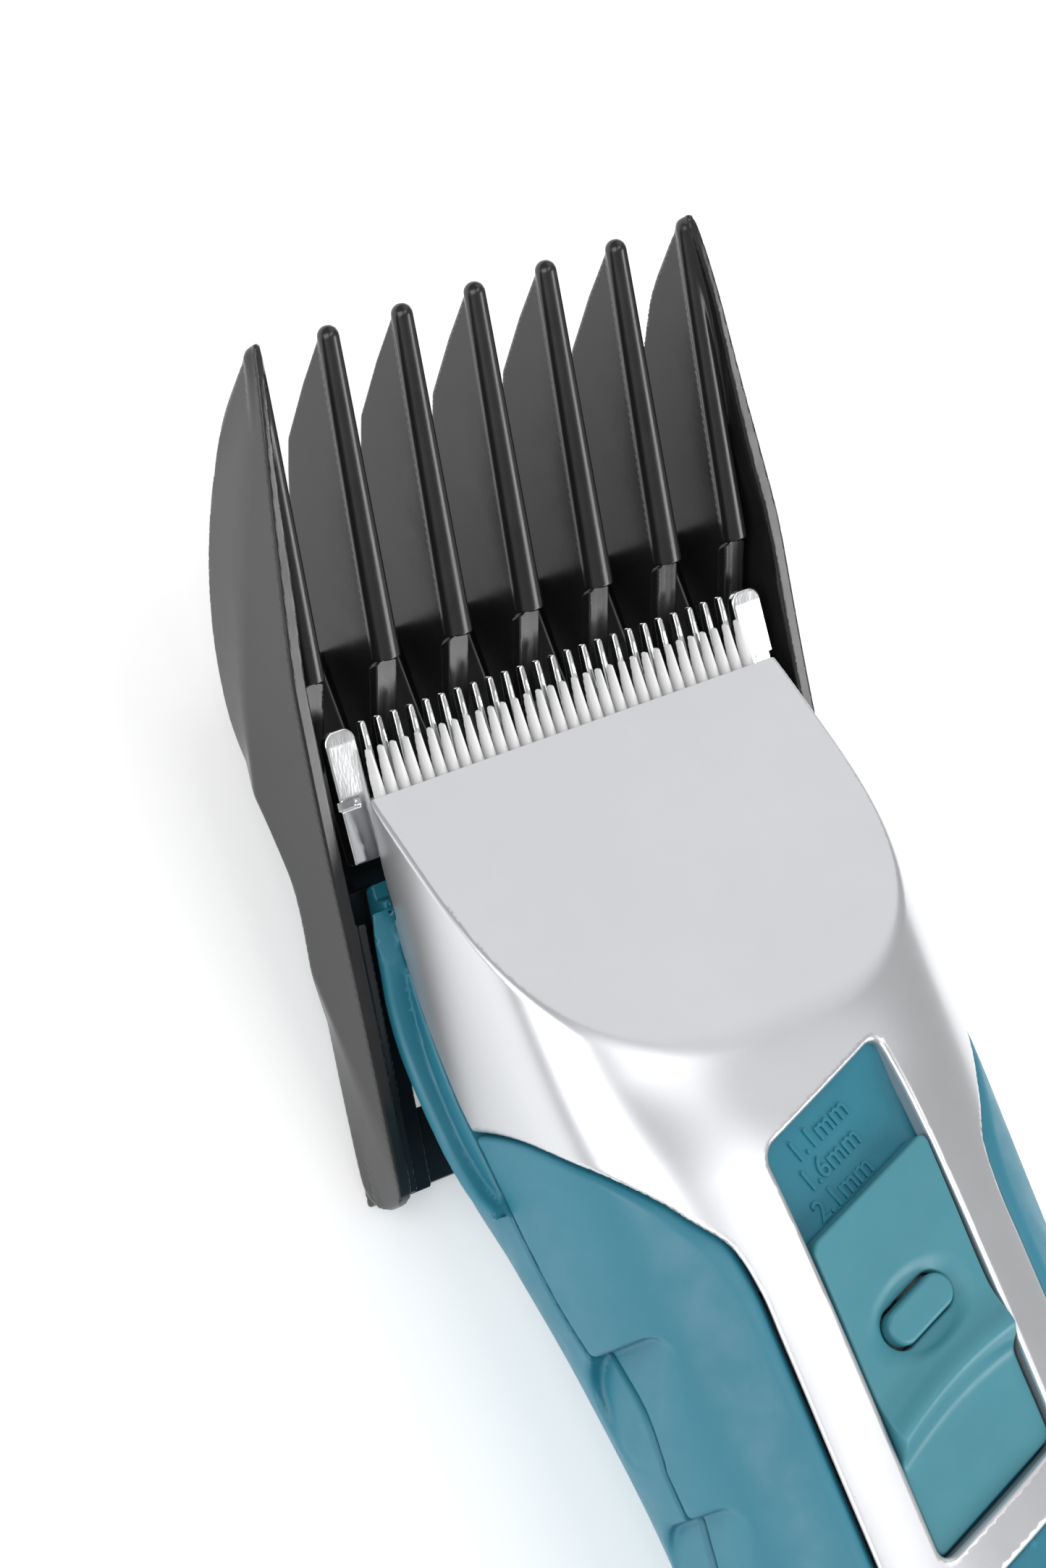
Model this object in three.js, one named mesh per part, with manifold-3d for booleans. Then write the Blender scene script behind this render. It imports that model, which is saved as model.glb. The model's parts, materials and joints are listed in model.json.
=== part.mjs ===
// Cordless hair clipper with an adjustable cutting length and a slide-on guide comb. Millimetres, +Z up.
// The clipper lies on its back: +Y points to the cutting end and the front face looks up.
import * as THREE from 'three';
import { mergeVertices } from 'three/addons/utils/BufferGeometryUtils.js';
import Module from 'manifold-3d';

const wasm = await Module();
wasm.setup();

// ---------------------------------------------------------------- driving dimensions
// All positions are in the head frame: its origin is the middle of the fixed blade's row of tips.
const GAP = 0.3;                 // clearance between neighbouring pieces
const WALL = 2.0;                // shell thickness
const ROUND = 20;                // sides of a round piece
const TAIL_Y = -160;             // rear end of the tail cap
const SHELL_END_Y = -152;        // rear end of the shells
const COMB_TIP_Y = 29.4;         // front end of the guide comb
const LOWEST_Z = -19.9;          // underside of the rest pad and of the comb's crossbar
const BLADE_TILT = THREE.MathUtils.degToRad(16.2);
const COMB_SLOPE = Math.tan(THREE.MathUtils.degToRad(23));   // the comb slides along this slope
const SLANT = Math.tan(THREE.MathUtils.degToRad(19.5));   // slant of the controls across the front

// Body stations: y, half width, top, bottom, superellipse exponent.
const STATIONS = [
  [-6, 21.0, 11.4, -5.0, 4.0],
  [-20, 20.9, 11.4, -11.1, 3.8],
  [-35, 20.9, 11.4, -17.0, 3.6],
  [-45, 20.8, 13.2, -16.4, 2.9],
  [-56, 20.6, 14.0, -15.0, 2.5],
  [-72, 20.0, 14.1, -13.4, 2.5],
  [-100, 20.0, 13.8, -14.0, 2.5],
  [-130, 20.0, 12.4, -17.0, 2.6],
  [-152, 18.6, 10.6, -17.6, 2.7],
];
const SHIELD = { y: -5.96, z: 0.24, slope: 0.385, wall: 1.5 };
const PARTING = [[4, 4.8], [-6, 0.1], [-17, -4.7], [-30, -5.6], [-36, -5.0], [-48, -3.9], [-54, -2.2],
  [-60, 0.6], [-66, 1.0], [TAIL_Y, 1.0]];
const GRIP_EDGE = [[-34.3, -4.8], [-35.7, -0.6], [-37.4, 2.6], [-40.2, 6.0], [-42.5, 8.0], [-45, 9.5],
  [-47.3, 10.4], [-49.7, 11.2], [-52, 11.6]];
const STRIP_HALF = 13.2;         // half width of the front housing's strip between the grips
const GRIP_INNER = 11.5;         // inner side of the grips
const SCALLOP = { x: 19.35, first: -54.2, length: 10, pitch: 14.6, low: -4.5, high: 7.5, count: 4 };

const RECESS = { half: 7.4, top: -41.7, bottom: -76.8 };
const PANEL = { half: 7.4, top: -80.9, bottom: -118 };
const FLOOR_TOP = 11.2;          // floor of the recess
const SLIDER = { half: 7.1, top: -50.1, bottom: -76.5, low: 11.5, high: 13.3, travel: 6 };
const LOCK = { y: -60.5, length: 7.5, width: 3.0, high: 13.6, low: 11.9 };
const POWER = { half: 5.7, top: -95.4, bottom: -107.4, low: 12.2, high: 13.3 };

const STEEL = { half: 22.4, rear: -22, wing: -11, thick: 1.4, teeth: 24, pitch: 1.6, root: -6.5 };
const CERAMIC = { half: 19.6, tip: -2.2, rear: -14, low: 0.3, high: 1.5, teeth: 32, root: -6.7 };

const BLADE_SCREW = { x: 13, y: -18 };
const LEVER = { y: -32, z: -9, long: 12, short: 2.4 };
const SHAFT_Z = -2;
const CAM_OFFSET = 0.8;          // eccentricity, half of the moving blade's stroke
const REST_PAD = { radius: 7.5, front: -129, rear: -139, root: -10 };
const SCREWS = [[-13, -45], [13, -45], [-9, -145], [9, -145]];

// ---------------------------------------------------------------- solids
function toSolid(geometry) {
  geometry.deleteAttribute('normal');
  geometry.deleteAttribute('uv');
  const merged = mergeVertices(geometry, 1e-4);
  const position = merged.attributes.position.array;
  const index = merged.index.array;
  const corner = [new THREE.Vector3(), new THREE.Vector3(), new THREE.Vector3()];
  let volume = 0;
  for (let t = 0; t < index.length; t += 3) {
    corner.forEach((point, k) => point.fromArray(position, 3 * index[t + k]));
    volume += corner[0].dot(corner[1].clone().cross(corner[2]));
  }
  const order = volume < 0 ? [0, 2, 1] : [0, 1, 2];
  const triVerts = new Uint32Array(index.length);
  for (let t = 0; t < index.length; t += 3) {
    order.forEach((k, i) => { triVerts[t + i] = index[t + k]; });
  }
  const vertProperties = new Float32Array(position);
  return new wasm.Manifold(new wasm.Mesh({ numProp: 3, vertProperties, triVerts }));
}

function toGeometry(solid) {
  const mesh = solid.getMesh();
  const position = new Float32Array(3 * mesh.numVert);
  for (let v = 0; v < mesh.numVert; v += 1) {
    for (let k = 0; k < 3; k += 1) position[3 * v + k] = mesh.vertProperties[mesh.numProp * v + k];
  }
  const geometry = new THREE.BufferGeometry();
  geometry.setAttribute('position', new THREE.BufferAttribute(position, 3));
  geometry.setIndex(new THREE.BufferAttribute(new Uint32Array(mesh.triVerts), 1));
  geometry.computeVertexNormals();
  return geometry;
}

function joined(solids) {
  return solids.reduce((sum, solid) => sum.add(solid));
}

function block(low, high) {
  const size = high.map((value, k) => value - low[k]);
  const geometry = new THREE.BoxGeometry(...size);
  geometry.translate(...high.map((value, k) => (value + low[k]) / 2));
  return toSolid(geometry);
}

// A prism whose outline lies in the plane named by its two axes, from one level to another.
const PLANE_AXES = {
  XY: [[1, 0, 0], [0, 1, 0], [0, 0, 1]],
  YZ: [[0, 1, 0], [0, 0, 1], [1, 0, 0]],
  XZ: [[1, 0, 0], [0, 0, 1], [0, -1, 0]],
};

function prism(plane, outline, from, to) {
  const shape = outline instanceof THREE.Shape ? outline
    : new THREE.Shape(outline.map(([u, v]) => new THREE.Vector2(u, v)));
  const settings = { depth: to - from, bevelEnabled: false, curveSegments: 4 };
  const geometry = new THREE.ExtrudeGeometry(shape, settings);
  const axes = PLANE_AXES[plane].map((axis) => new THREE.Vector3(...axis));
  geometry.translate(0, 0, plane === 'XZ' ? -to : from);
  geometry.applyMatrix4(new THREE.Matrix4().makeBasis(...axes));
  return toSolid(geometry);
}

// A cylinder or cone along one axis: centre holds the other two coordinates, in X, Y, Z order.
function rod(axis, centre, radius, from, to, sides = ROUND, endRadius = radius) {
  const geometry = new THREE.CylinderGeometry(endRadius, radius, to - from, sides);
  geometry.translate(0, (from + to) / 2, 0);
  if (axis === 'X') geometry.rotateZ(-Math.PI / 2);
  if (axis === 'Z') geometry.rotateX(Math.PI / 2);
  const [u, v] = centre;
  const offset = { X: [0, u, v], Y: [u, 0, v], Z: [u, v, 0] }[axis];
  geometry.translate(...offset);
  return toSolid(geometry);
}

function loft(rings) {
  const count = rings[0].length;
  const position = rings.flat(2);
  const index = [];
  for (let r = 0; r + 1 < rings.length; r += 1) {
    for (let k = 0; k < count; k += 1) {
      const a = r * count + k;
      const b = r * count + (k + 1) % count;
      index.push(a, b, b + count, a, b + count, a + count);
    }
  }
  for (const [start, flip] of [[0, true], [(rings.length - 1) * count, false]]) {
    for (let k = 1; k + 1 < count; k += 1) {
      const face = [start, start + k, start + k + 1];
      index.push(...(flip ? face.reverse() : face));
    }
  }
  const geometry = new THREE.BufferGeometry();
  geometry.setAttribute('position', new THREE.BufferAttribute(new Float32Array(position), 3));
  geometry.setIndex(index);
  return toSolid(geometry);
}

// ---------------------------------------------------------------- body form
// Cubic interpolation between the stations, with the neighbours' slope at each station.
function stationAt(y) {
  const last = STATIONS.length - 1;
  const at = Math.min(Math.max(y, STATIONS[last][0]), STATIONS[0][0]);
  let i = 0;
  while (i < last - 1 && at < STATIONS[i + 1][0]) i += 1;
  const slope = (k, column) => {
    const before = STATIONS[Math.max(k - 1, 0)];
    const after = STATIONS[Math.min(k + 1, last)];
    return (after[column] - before[column]) / (after[0] - before[0]);
  };
  const step = STATIONS[i + 1][0] - STATIONS[i][0];
  const s = (at - STATIONS[i][0]) / step;
  const value = (column) => (2 * s ** 3 - 3 * s ** 2 + 1) * STATIONS[i][column]
    + (s ** 3 - 2 * s ** 2 + s) * step * slope(i, column)
    + (3 * s ** 2 - 2 * s ** 3) * STATIONS[i + 1][column]
    + (s ** 3 - s ** 2) * step * slope(i + 1, column);
  return { half: value(1), top: value(2), bottom: value(3), power: value(4) };
}

function bodyRing(y, inset, count = 32) {
  const { half, top, bottom, power } = stationAt(y);
  const centre = (top + bottom) / 2;
  const round = (value) => Math.sign(value) * Math.abs(value) ** (2 / power);
  return Array.from({ length: count }, (_, k) => {
    const angle = (2 * Math.PI * k) / count;
    const x = (half - inset) * round(Math.cos(angle));
    return [x, y, centre + ((top - bottom) / 2 - inset) * round(Math.sin(angle))];
  });
}

function surfaceZ(x, y, side) {
  const { half, top, bottom, power } = stationAt(y);
  const drop = (1 - Math.min(Math.abs(x) / half, 1) ** power) ** (1 / power);
  return (top + bottom) / 2 + side * ((top - bottom) / 2) * drop;
}

function shieldZ(y) {
  return SHIELD.z + SHIELD.slope * (SHIELD.y - y);
}

function bodySolid(inset, front, rear) {
  const inner = STATIONS.map(([y]) => y).filter((y) => y < front - 0.5 && y > rear + 0.5);
  const between = [-12, -28, -40, -50, -64, -86, -115, -142].filter((y) => y < front - 0.5 && y > rear + 0.5);
  const levels = [front, ...inner, ...between, rear].sort((a, b) => b - a);
  const tube = loft(levels.map((y) => bodyRing(y, inset)));
  const cut = inset > 0 ? SHIELD.wall : Math.min(inset, 0);
  const wedge = [[10, shieldZ(10) - cut], [10, 60], [-70, 60], [-70, shieldZ(-70) - cut]];
  const above = prism('YZ', wedge, -40, 40);
  return tube.subtract(above);
}

const outer = bodySolid(0, -6, SHELL_END_Y);
const shell = outer.subtract(bodySolid(WALL, 2, SHELL_END_Y - 2));
const cavity = bodySolid(WALL + GAP, -6, SHELL_END_Y + GAP);

function belowParting(offset) {
  const outline = PARTING.map(([y, z]) => [y, z + offset]);
  return prism('YZ', [...outline, [TAIL_Y, -60], [4, -60]], -40, 40);
}

function gripSide(side, grow) {
  const edge = GRIP_EDGE.map(([y, z]) => [y + grow, z + grow]);
  const levels = [-56, -64, -86, -100, -115, -130, -142, TAIL_Y + 2];
  const along = levels.map((y) => [y, surfaceZ(STRIP_HALF - grow, y, 1)]);
  const below = [[TAIL_Y + 2, -60], [GRIP_EDGE[0][0] + grow, -60]];
  const region = prism('YZ', [...edge, ...along, ...below], GRIP_INNER - grow, 40);
  return side > 0 ? region : region.mirror([1, 0, 0]);
}

// A parallelogram with rounded corners, slanted like the front controls.
function slanted(half, top, bottom, radius = 1.2) {
  const corners = [[-half, top], [half, top], [half, bottom], [-half, bottom]];
  const points = corners.map(([x, y]) => new THREE.Vector2(x, y + SLANT * x));
  const shape = new THREE.Shape();
  points.forEach((point, k) => {
    const before = points[(k + 3) % 4].clone().sub(point).setLength(radius).add(point);
    const after = points[(k + 1) % 4].clone().sub(point).setLength(radius).add(point);
    if (k === 0) shape.moveTo(before.x, before.y);
    else shape.lineTo(before.x, before.y);
    shape.quadraticCurveTo(point.x, point.y, after.x, after.y);
  });
  return shape;
}

function oblong(y, length, width) {
  const reach = (length - width) / 2;
  const turn = Math.atan(SLANT);
  const outline = [];
  for (const [side, start] of [[1, -Math.PI / 2], [-1, Math.PI / 2]]) {
    for (let k = 0; k <= 8; k += 1) {
      const angle = start + (Math.PI * k) / 8;
      outline.push([side * reach + (width / 2) * Math.cos(angle), (width / 2) * Math.sin(angle)]);
    }
  }
  return outline.map(([u, v]) => [
    u * Math.cos(turn) - v * Math.sin(turn),
    y + u * Math.sin(turn) + v * Math.cos(turn),
  ]);
}

// A ridge across a slider, with its profile in Y and Z carried along the slant.
function ridge(profile, half) {
  const shear = new THREE.Matrix4().makeShear(SLANT, 0, 0, 0, 0, 0);
  return prism('YZ', profile, -half, half).transform(shear.elements);
}

// ---------------------------------------------------------------- housing
function scallops() {
  const { x, first, length, pitch, low, high, count } = SCALLOP;
  const cuts = [];
  for (let k = 0; k < count; k += 1) {
    const top = first - k * pitch;
    const outline = [[top, low], [top, high - 3], [top - 1, high - 1],
      [top - 3, high], [top - length + 1, high],
      [top - length, high - 1], [top - length, low + 2], [top - length + 2, low]];
    cuts.push(prism('YZ', outline, x, 40), prism('YZ', outline, -40, -x));
  }
  return joined(cuts);
}

const blades = new THREE.Matrix4().makeRotationX(BLADE_TILT);

function upperHousing() {
  const hole = (area) => prism('XY', slanted(area.half, area.top, area.bottom), 0, 40);
  const lipArea = slanted(PANEL.half + 1.6, RECESS.top + 1, PANEL.bottom - 1.5);
  const lip = prism('XY', lipArea, FLOOR_TOP + GAP, 13).intersect(outer);
  const pocket = prism('XY', slanted(9.5, -40.3, -120.3), 5, FLOOR_TOP + GAP);
  const mouth = block([-20.4, -16, -6], [20.4, 6, CERAMIC.high + GAP]).transform(blades.elements);
  const posts = joined(SCREWS.map(([x, y]) => rod('Z', [x, y], 2.8, -0.6, 20, 12))).intersect(outer);
  const pilots = SCREWS.map(([x, y]) => rod('Z', [x, y], 1.55, -2, 6, 10));
  const grips = [gripSide(1, GAP), gripSide(-1, GAP)];
  const whole = shell.subtract(belowParting(GAP / 2)).add(lip).add(posts);
  return whole.subtract(joined([...grips, hole(RECESS), hole(PANEL), pocket, mouth, ...pilots]));
}

function flange(side) {
  const edge = [[-11.8, -1.9], [-13.3, -3.5], [-15.4, -4.9], [-18.8, -6.6], [-22.2, -8.1], [-26.4, -8.9],
    [-32.9, -8.7], [-36, -8.2], [-38.9, -7.2], [-41, -5.8]];
  const back = edge.map(([y, z]) => [y - 0.25, z + 1.3]).reverse();
  const strip = prism('YZ', [...edge, ...back], 20.2, 22.3);
  const keep = bodySolid(-GAP, -6, -60).subtract(belowParting(-GAP / 2));
  return (side > 0 ? strip : strip.mirror([1, 0, 0])).subtract(keep);
}

function lowerHousing() {
  const front = block([-40, -12, -60], [40, 20, 60]);
  let solid = shell.intersect(belowParting(-GAP / 2)).subtract(front).add(flange(1)).add(flange(-1));
  const bosses = joined(SCREWS.map(([x, y]) => rod('Z', [x, y], 3.4, -30, -1.2, 12)));
  const pillars = joined([-1, 1].map((s) => {
    const [a, b] = [12.2 * s, 15.2 * s].sort((p, q) => p - q);
    return block([a, LEVER.y - 2.2, -30], [b, LEVER.y + 2.2, LEVER.z + 2.2]);
  }));
  solid = solid.add(bosses.add(pillars).intersect(outer));
  const holes = SCREWS.flatMap(([x, y]) => [
    rod('Z', [x, y], 1.6, -40, 2, 10),
    rod('Z', [x, y], 3.0, -40, surfaceZ(x, y, -1) + 2.8, 14),
  ]);
  const bladeRoom = [[22.7, -14.6], [17.9, -22.6]].map(([half, rear]) => (
    block([-half, rear, -STEEL.thick - GAP], [half, 6, 6]).transform(blades.elements)));
  const pinHoles = [[-14.2, -10], [10, 14.2]].map(([a, b]) => rod('X', [LEVER.y, LEVER.z], 1.2, a, b, 12));
  return solid.subtract(joined([...holes, ...pinHoles, ...bladeRoom, bladeScrewHoles(), scallops()]));
}

function grip(side) {
  const above = shell.subtract(belowParting(GAP / 2));
  return above.intersect(gripSide(side, 0)).subtract(scallops());
}

function tailCap() {
  const ring = (y, shrink, drop) => bodyRing(SHELL_END_Y, shrink).map(([x, , z]) => [x, y, z - drop]);
  const outside = loft([[-152.3, 0, 0], [-155.5, 0.6, 0], [-158, 1.8, 0], [-159.4, 3.3, 0], [TAIL_Y, 4.6, 0]]
    .map((level) => ring(...level)));
  const inside = loft([[-150, 2, 0], [-155.5, 2.4, 0], [-157.6, 4, 0]].map((level) => ring(...level)));
  return outside.subtract(inside).subtract(rod('Y', [0, -3], 3.4, -170, -140));
}

function restPad() {
  const outline = new THREE.Shape();
  const { radius, front, rear, root } = REST_PAD;
  outline.moveTo(-radius, front);
  outline.absarc(0, front, radius, Math.PI, 0, true);
  outline.absarc(0, rear, radius, 0, -Math.PI, true);
  return prism('XY', outline, LOWEST_Z, root).subtract(bodySolid(-GAP, -100, SHELL_END_Y));
}

// ---------------------------------------------------------------- controls
function scalePlate() {
  const slot = prism('XY', slanted(4.1, -51.5, -68.8, 0.8), 0, 20);
  return prism('XY', slanted(9.2, -40.6, -78.7), FLOOR_TOP - 1.5, FLOOR_TOP).subtract(slot);
}

function lengthSlider() {
  const { half, top, bottom, low, high } = SLIDER;
  const plate = prism('XY', slanted(half, top, bottom, 1), low, high);
  const step = prism('XY', slanted(half + 1, -69.2, bottom - 2, 0.5), high - 0.5, 20);
  const profile = [[-63.4, 12], [-63.4, high], [-65.6, 14.4], [-66.5, 14.7], [-67.2, 14.3], [-69.2, 12.7],
    [-69.2, 12]];
  const crest = ridge(profile, half);
  const stem = block([-1.5, -67.5, 7.9], [1.5, -65, low + 0.5]);
  const dish = new THREE.SphereGeometry(1, 16, 8);
  dish.scale(5.2, 3.0, 1.1);
  dish.rotateZ(Math.atan(SLANT));
  dish.translate(0, LOCK.y, high + 0.15);
  const hole = prism('XY', oblong(LOCK.y, LOCK.length + 2 * GAP, LOCK.width + 2 * GAP), 0, 20);
  return plate.subtract(step).add(crest).add(stem).subtract(toSolid(dish)).subtract(hole);
}

function lockButton() {
  return prism('XY', oblong(LOCK.y, LOCK.length, LOCK.width), LOCK.low, LOCK.high);
}

function coil(radius, wire, low, high, turns) {
  const points = [];
  const steps = turns * 8;
  for (let k = 0; k <= steps; k += 1) {
    const angle = (2 * Math.PI * k) / 8;
    const z = low + wire + ((high - low - 2 * wire) * k) / steps;
    points.push(new THREE.Vector3(radius * Math.cos(angle), LOCK.y + radius * Math.sin(angle), z));
  }
  const section = new THREE.Shape();
  section.absarc(0, 0, wire, 0, 2 * Math.PI);
  const path = new THREE.CatmullRomCurve3(points);
  const settings = { steps, extrudePath: path, curveSegments: 2, bevelEnabled: false };
  return new THREE.ExtrudeGeometry(section, settings);
}

function lengthLink() {
  const strap = block([-4, -69.5, 7.5], [4, -40.5, 8.9]);
  const riser = block([-4, -42, 4.4], [4, -40.5, 8.9]);
  const bridge = block([-4, -42, 4.4], [4, -32.6, 5.7]);
  const tabs = [[-37.5, -36.3], [-33.7, -32.6]].map(([a, b]) => block([-4, a, 1.9], [4, b, 5]));
  const socket = block([-1.5 - GAP, -67.5 - GAP, 7], [1.5 + GAP, -65 + GAP, 9.5]);
  return joined([strap, riser, bridge, ...tabs]).subtract(socket);
}

// The lever is an arch over the motor shaft.
// It leans back as far at one limit as it leans forward at the other.
function adjustingLever() {
  const lean = SLIDER.travel / LEVER.long / 2;
  const top = LEVER.long;
  const sides = [-1, 1].map((s) => {
    const [a, b] = [9.2 * s, 11.4 * s].sort((p, q) => p - q);
    return block([a, -1, -1.9], [b, 1, top + 0.9]);
  });
  const bar = rod('X', [0, top], 0.95, -10, 10, 12);
  const bore = rod('X', [0, 0], 1.1, -20, 20, 12);
  const feet = [-1, 1].map((s) => rod('X', [0, 0], 2.0, ...[9.2 * s, 11.4 * s].sort((p, q) => p - q), 14));
  const place = new THREE.Matrix4().makeTranslation(0, LEVER.y, LEVER.z)
    .multiply(new THREE.Matrix4().makeRotationX(lean));
  return joined([...sides, ...feet, bar]).subtract(bore).transform(place.elements);
}

function frontPanel() {
  const plug = prism('XY', slanted(PANEL.half - GAP, PANEL.top - GAP, PANEL.bottom + GAP, 1), 10.4, 12.6);
  const base = prism('XY', slanted(9.2, -79.1, -120), 9.7, FLOOR_TOP);
  const bed = prism('XY', slanted(POWER.half + GAP, POWER.top + 3.4, POWER.bottom - GAP, 1), 11.9, 20);
  const slot = block([-1.6, -102.4, 5], [1.6, -97.1, 20]);
  const eye = rod('Z', [0, -113], 1.5, 5, 20, 14);
  return plug.add(base).subtract(joined([bed, slot, eye]));
}

function powerSlider() {
  const { half, top, bottom, low, high } = POWER;
  const plate = prism('XY', slanted(half, top, bottom, 1), low, high);
  const profile = [[-99.4, 12.5], [-99.4, high], [-101, 14.1], [-102, 14.3], [-103, 13.8], [-104, high],
    [-104, 12.5]];
  return joined([plate, ridge(profile, half), block([-1.1, -102, 8.9], [1.1, -100.5, low + 0.3])]);
}

// ---------------------------------------------------------------- cutting head, in the blades' frame
function toothedOutline({ teeth, pitch, width, tip, root, ends }) {
  const outline = [];
  for (let k = 0; k < teeth; k += 1) {
    const x = (k - (teeth - 1) / 2) * pitch;
    const half = width / 2;
    outline.push([x - half, root], [x - 0.6 * half, tip], [x + 0.6 * half, tip], [x + half, root]);
  }
  return [...ends[0], ...outline, ...ends[1]];
}

function fixedBlade() {
  const { half, rear, wing, thick, teeth, pitch, root } = STEEL;
  const wide = [[-half, wing], [-half, -1.6], [-21.9, -0.6], [-20.9, -0.1],
    [-20, -0.3], [-19.4, -1], [-19.4, root]];
  const tail = [[17.5, wing - 2], [17.5, rear], [-17.5, rear], [-17.5, wing - 2]];
  const right = wide.map(([x, y]) => [-x, y]).reverse();
  const ends = [wide, [...right, ...tail]];
  const outline = toothedOutline({ teeth, pitch, width: 0.8, tip: 0, root, ends });
  const places = [-BLADE_SCREW.x, BLADE_SCREW.x];
  const holes = joined(places.map((x) => rod('Z', [x, BLADE_SCREW.y], 1.6, -5, 5, 12)));
  const grooves = joined([[-30, -20.6], [20.6, 30]].map(([a, b]) => block([a, -6.4, -0.5], [b, -5.8, 5])));
  return prism('XY', outline, -thick, 0).subtract(holes).subtract(grooves);
}

function movingBlade() {
  const { half, tip, rear, low, high, teeth, root } = CERAMIC;
  const pitch = (2 * half) / teeth;
  const width = 0.76;
  const edge = (teeth * pitch - (pitch - width)) / 2;
  const ends = [[[-edge, rear]], [[edge, rear]]];
  return prism('XY', toothedOutline({ teeth, pitch, width, tip, root, ends }), low, high);
}

function bladeScrewHoles() {
  return joined([-BLADE_SCREW.x, BLADE_SCREW.x].map((x) => rod('Z', [x, BLADE_SCREW.y], 1.6, -3, 5, 12)))
    .transform(blades.elements);
}

function bladeSeat() {
  const slab = block([-19.5, -23, -12], [19.5, -9.6, -STEEL.thick - GAP]).transform(blades.elements);
  const nose = outer.intersect(block([-40, -12 + GAP, -40], [40, 0, 40]));
  return slab.intersect(cavity.add(nose)).subtract(bladeScrewHoles());
}

function bladeScrew(x) {
  const head = rod('Z', [x, BLADE_SCREW.y], 2.2, GAP, 1.3, 14);
  const shank = rod('Z', [x, BLADE_SCREW.y], 1.25, -2.6, 1, 12);
  return head.add(shank);
}

function bladeCarriage() {
  const pads = [-1, 1].map((s) => {
    const [a, b] = [7.8 * s, 18 * s].sort((p, q) => p - q);
    return block([a, -20, 1.9], [b, -12, 3.3]);
  });
  const lugs = [-1, 1].map((s) => {
    const [a, b] = [9.3 * s, 11.3 * s].sort((p, q) => p - q);
    return block([a, -31.2, 1.9], [b, -19, 3.3]);
  });
  return joined([...pads, ...lugs, block([-18, -20, 3.0], [18, -16.4, 4.4])]);
}

function driveYoke() {
  const arm = block([-6, -29.2, 1.9], [6, -11, 3.0 - GAP]).transform(blades.elements);
  const plate = block([-6.6, -30.6, -7.8], [6.6, -28.2, 0.9]);
  const fork = block([-3.2, -40, SHAFT_Z - 2.9], [3.2, -27.9, 20]);
  return arm.subtract(block([-20, -40, -40], [20, -30.6, 40])).add(plate).subtract(fork);
}

function bladeSpring() {
  const half = [[-4.5, -13, 3.5], [-4.5, -14.6, 4.4], [-4.5, -16.2, 5.2],
    [-4.5, -20.5, 5.5], [-2.6, -23, 5.5]];
  const points = [...half, ...half.map(([x, y, z]) => [-x, y, z]).reverse()];
  const path = new THREE.CatmullRomCurve3(points.map((point) => new THREE.Vector3(...point)));
  const section = new THREE.Shape();
  section.absarc(0, 0, 0.45, 0, 2 * Math.PI);
  const settings = { steps: 20, extrudePath: path, curveSegments: 3, bevelEnabled: false };
  return new THREE.ExtrudeGeometry(section, settings);
}

// ---------------------------------------------------------------- drive and power
function motor() {
  const can = rod('Y', [0, SHAFT_Z], 10, -80, -55, 28);
  const flat = block([-20, -90, SHAFT_Z - 7.5], [20, -50, SHAFT_Z + 7.5]);
  const holes = [-6, 6].map((x) => rod('Y', [x, SHAFT_Z], 1.2, -60, -40, 10));
  return can.intersect(flat).subtract(joined([rod('Y', [0, SHAFT_Z], 1.1, -61, -40, 16), ...holes]));
}

function motorBracket() {
  const plate = block([-17, -54.4, -13], [17, -52.6, 6.6]).intersect(cavity);
  const holes = [-6, 6].map((x) => rod('Y', [x, SHAFT_Z], 1.3, -60, -40, 10));
  return plate.subtract(joined([rod('Y', [0, SHAFT_Z], 3.2, -60, -40, 16), ...holes]));
}

function motorScrew(x) {
  return rod('Y', [x, SHAFT_Z], 0.9, -58, -52, 10).add(rod('Y', [x, SHAFT_Z], 1.9, -52.3, -51.1, 12));
}

function eccentricCam() {
  const bore = rod('Y', [0, SHAFT_Z], 1.3, -40, -35, 14);
  const disc = rod('Y', [0, SHAFT_Z], 3.0, -38, -34.2, 20).subtract(bore);
  return disc.add(rod('Y', [CAM_OFFSET, SHAFT_Z], 1.25, -34.5, -27.6, 14));
}

function housingScrew(x, y) {
  const seat = surfaceZ(x, y, -1) + 0.9;
  return rod('Z', [x, y], 2.6, seat, seat + 1.6, 14).add(rod('Z', [x, y], 1.25, seat + 0.5, 5, 10));
}

function chargingSocket() {
  const profile = [[0, 0], [3.1, 0], [3.1, 10.4], [2.1, 10.4],
    [2.1, 2.4], [0.65, 2.4], [0.65, 8.6], [0, 8.6]];
  const geometry = new THREE.LatheGeometry(profile.map(([r, h]) => new THREE.Vector2(r, h)), 18);
  geometry.rotateX(Math.PI);
  geometry.translate(0, -149.4, -3);
  return toSolid(geometry);
}

// ---------------------------------------------------------------- guide comb
const COMB_TEETH = 7;
const COMB_PITCH = 7.225;
const ROD_TIP = [28.5, 11.5];
const ROD_FOOT = [4.1, 0.6];

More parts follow.
